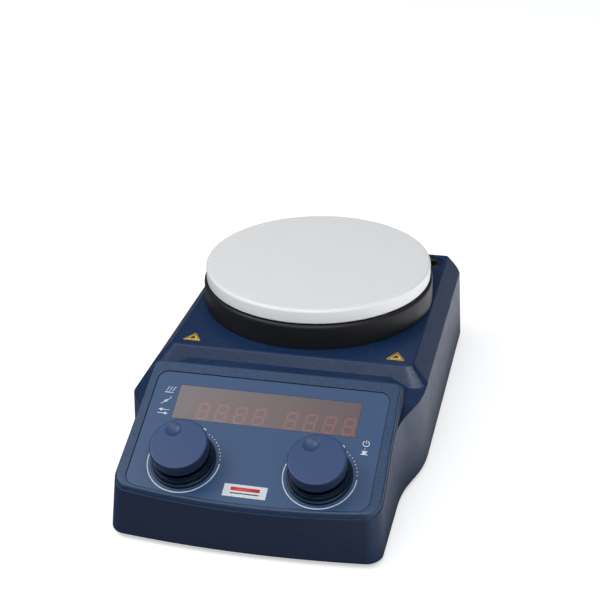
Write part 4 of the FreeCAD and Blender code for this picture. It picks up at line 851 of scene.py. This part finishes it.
# ---------------------------------------------------------------- stage
def floor_material():
    """Even pale grey to the camera; to all other rays dark at the left and bright at the right."""
    material, g = new_material("floor_white")
    coords = g.add("TexCoord").outputs["Object"]
    seen = g.mix(g.noise(coords, 3.0), shade((0.64,) * 3), shade((0.67,) * 3))
    x = g.axes(coords)["X"]
    tone = g.grey(g.span(x, 0.070, 0.110, 0.20, 0.92))
    bounce = g.add("BsdfDiffuse", {0: tone})
    card = g.add("Emission", {"Color": (1, 1, 1, 1),
                              "Strength": g.span(x, 0.085, 0.110, 0.0, 0.48)})
    unseen_sum = g.add("AddShader", {0: bounce.outputs[0], 1: card.outputs[0]})
    diffuse = g.add("BsdfDiffuse", {0: seen})
    lift = g.add("Emission", {"Color": (1, 1, 1, 1), "Strength": 0.50})
    seen_sum = g.add("AddShader", {0: diffuse.outputs[0], 1: lift.outputs[0]})
    is_camera = g.add("LightPath").outputs["Is Camera Ray"]
    mixed = g.add("MixShader", {0: is_camera, 1: unseen_sum.outputs[0], 2: seen_sum.outputs[0]})
    g.add("OutputMaterial", {0: mixed.outputs[0]})
    return material


def add_floor():
    half = 6.0      # metres
    mesh = bpy.data.meshes.new("floor")
    bm = bmesh.new()
    corners = ((-half, -half), (half, -half), (half, half), (-half, half))
    bm.faces.new([bm.verts.new((x, y, 0)) for x, y in corners])
    bm.to_mesh(mesh)
    bm.free()
    floor = bpy.data.objects.new("floor", mesh)
    scene.collection.objects.link(floor)
    mesh.materials.append(floor_material())


def add_world():
    """White to the camera; light comes from a bright top and a softer glow from the front."""
    world = bpy.data.worlds.new("studio")
    scene.world = world
    world.use_nodes = True
    g = Graph(world.node_tree)
    direction = g.axes(g.add("TexCoord").outputs["Generated"])
    dome = g.span(direction["Z"], 0.55, 0.95, 0.07, 0.92, interpolation="SMOOTHSTEP")
    front = g.multiply(g.span(direction["Y"], 0.0, -0.8, 0.0, 0.80),
                       g.span(direction["Z"], 0.02, 0.55, 0.15, 1.0))
    ambient = g.add("Background", {"Color": (0.93, 0.96, 1.0, 1),
                                   "Strength": g.math("ADD", dome, front)})
    backdrop = g.add("Background", {"Color": (1, 1, 1, 1), "Strength": 1.0})
    is_camera = g.add("LightPath").outputs["Is Camera Ray"]
    mixed = g.add("MixShader", {0: is_camera, 1: ambient.outputs[0], 2: backdrop.outputs[0]})
    g.add("OutputWorld", {0: mixed.outputs[0]})


def add_area_light(name, location, width, depth, power):
    """A slightly cool rectangle of light aimed at the product. Metres and watts."""
    light = bpy.data.lights.new(name, "AREA")
    light.shape = "RECTANGLE"
    light.size, light.size_y = width, depth
    light.energy = power
    light.color = (0.98, 0.99, 1.0)
    lamp = bpy.data.objects.new(name, light)
    scene.collection.objects.link(lamp)
    lamp.location = location
    aim = Vector((0, 0, 0.05)) - Vector(location)
    lamp.rotation_euler = aim.to_track_quat("-Z", "Y").to_euler()


def add_camera():
    """Looks down at the product from the front right."""
    right = Vector((0.97872149, 0.20512528, -0.00527797))
    up = Vector((-0.08797414, 0.44271436, 0.89233657))
    back = Vector((0.18537742, -0.87288465, 0.45133978))
    lens = bpy.data.cameras.new("camera")
    camera = bpy.data.objects.new("camera", lens)
    scene.collection.objects.link(camera)
    pose = Matrix((right, up, back)).transposed().to_4x4()
    pose.translation = Vector((0.15826, -0.63230, 0.41157))
    camera.matrix_world = pose
    lens.sensor_width = 36.0
    lens.lens = 77.68752
    lens.shift_x = -0.063383333
    lens.shift_y = -0.0012833333
    lens.clip_start, lens.clip_end = 0.02, 50.0
    scene.camera = camera


add_floor()
add_world()
add_area_light("key", (-0.92, -0.22, 1.18), width=0.6, depth=0.6, power=8.0)
add_area_light("front", (0.22, -0.78, 1.15), width=1.0, depth=0.5, power=6.5)
add_camera()
scene.view_settings.view_transform = "Standard"
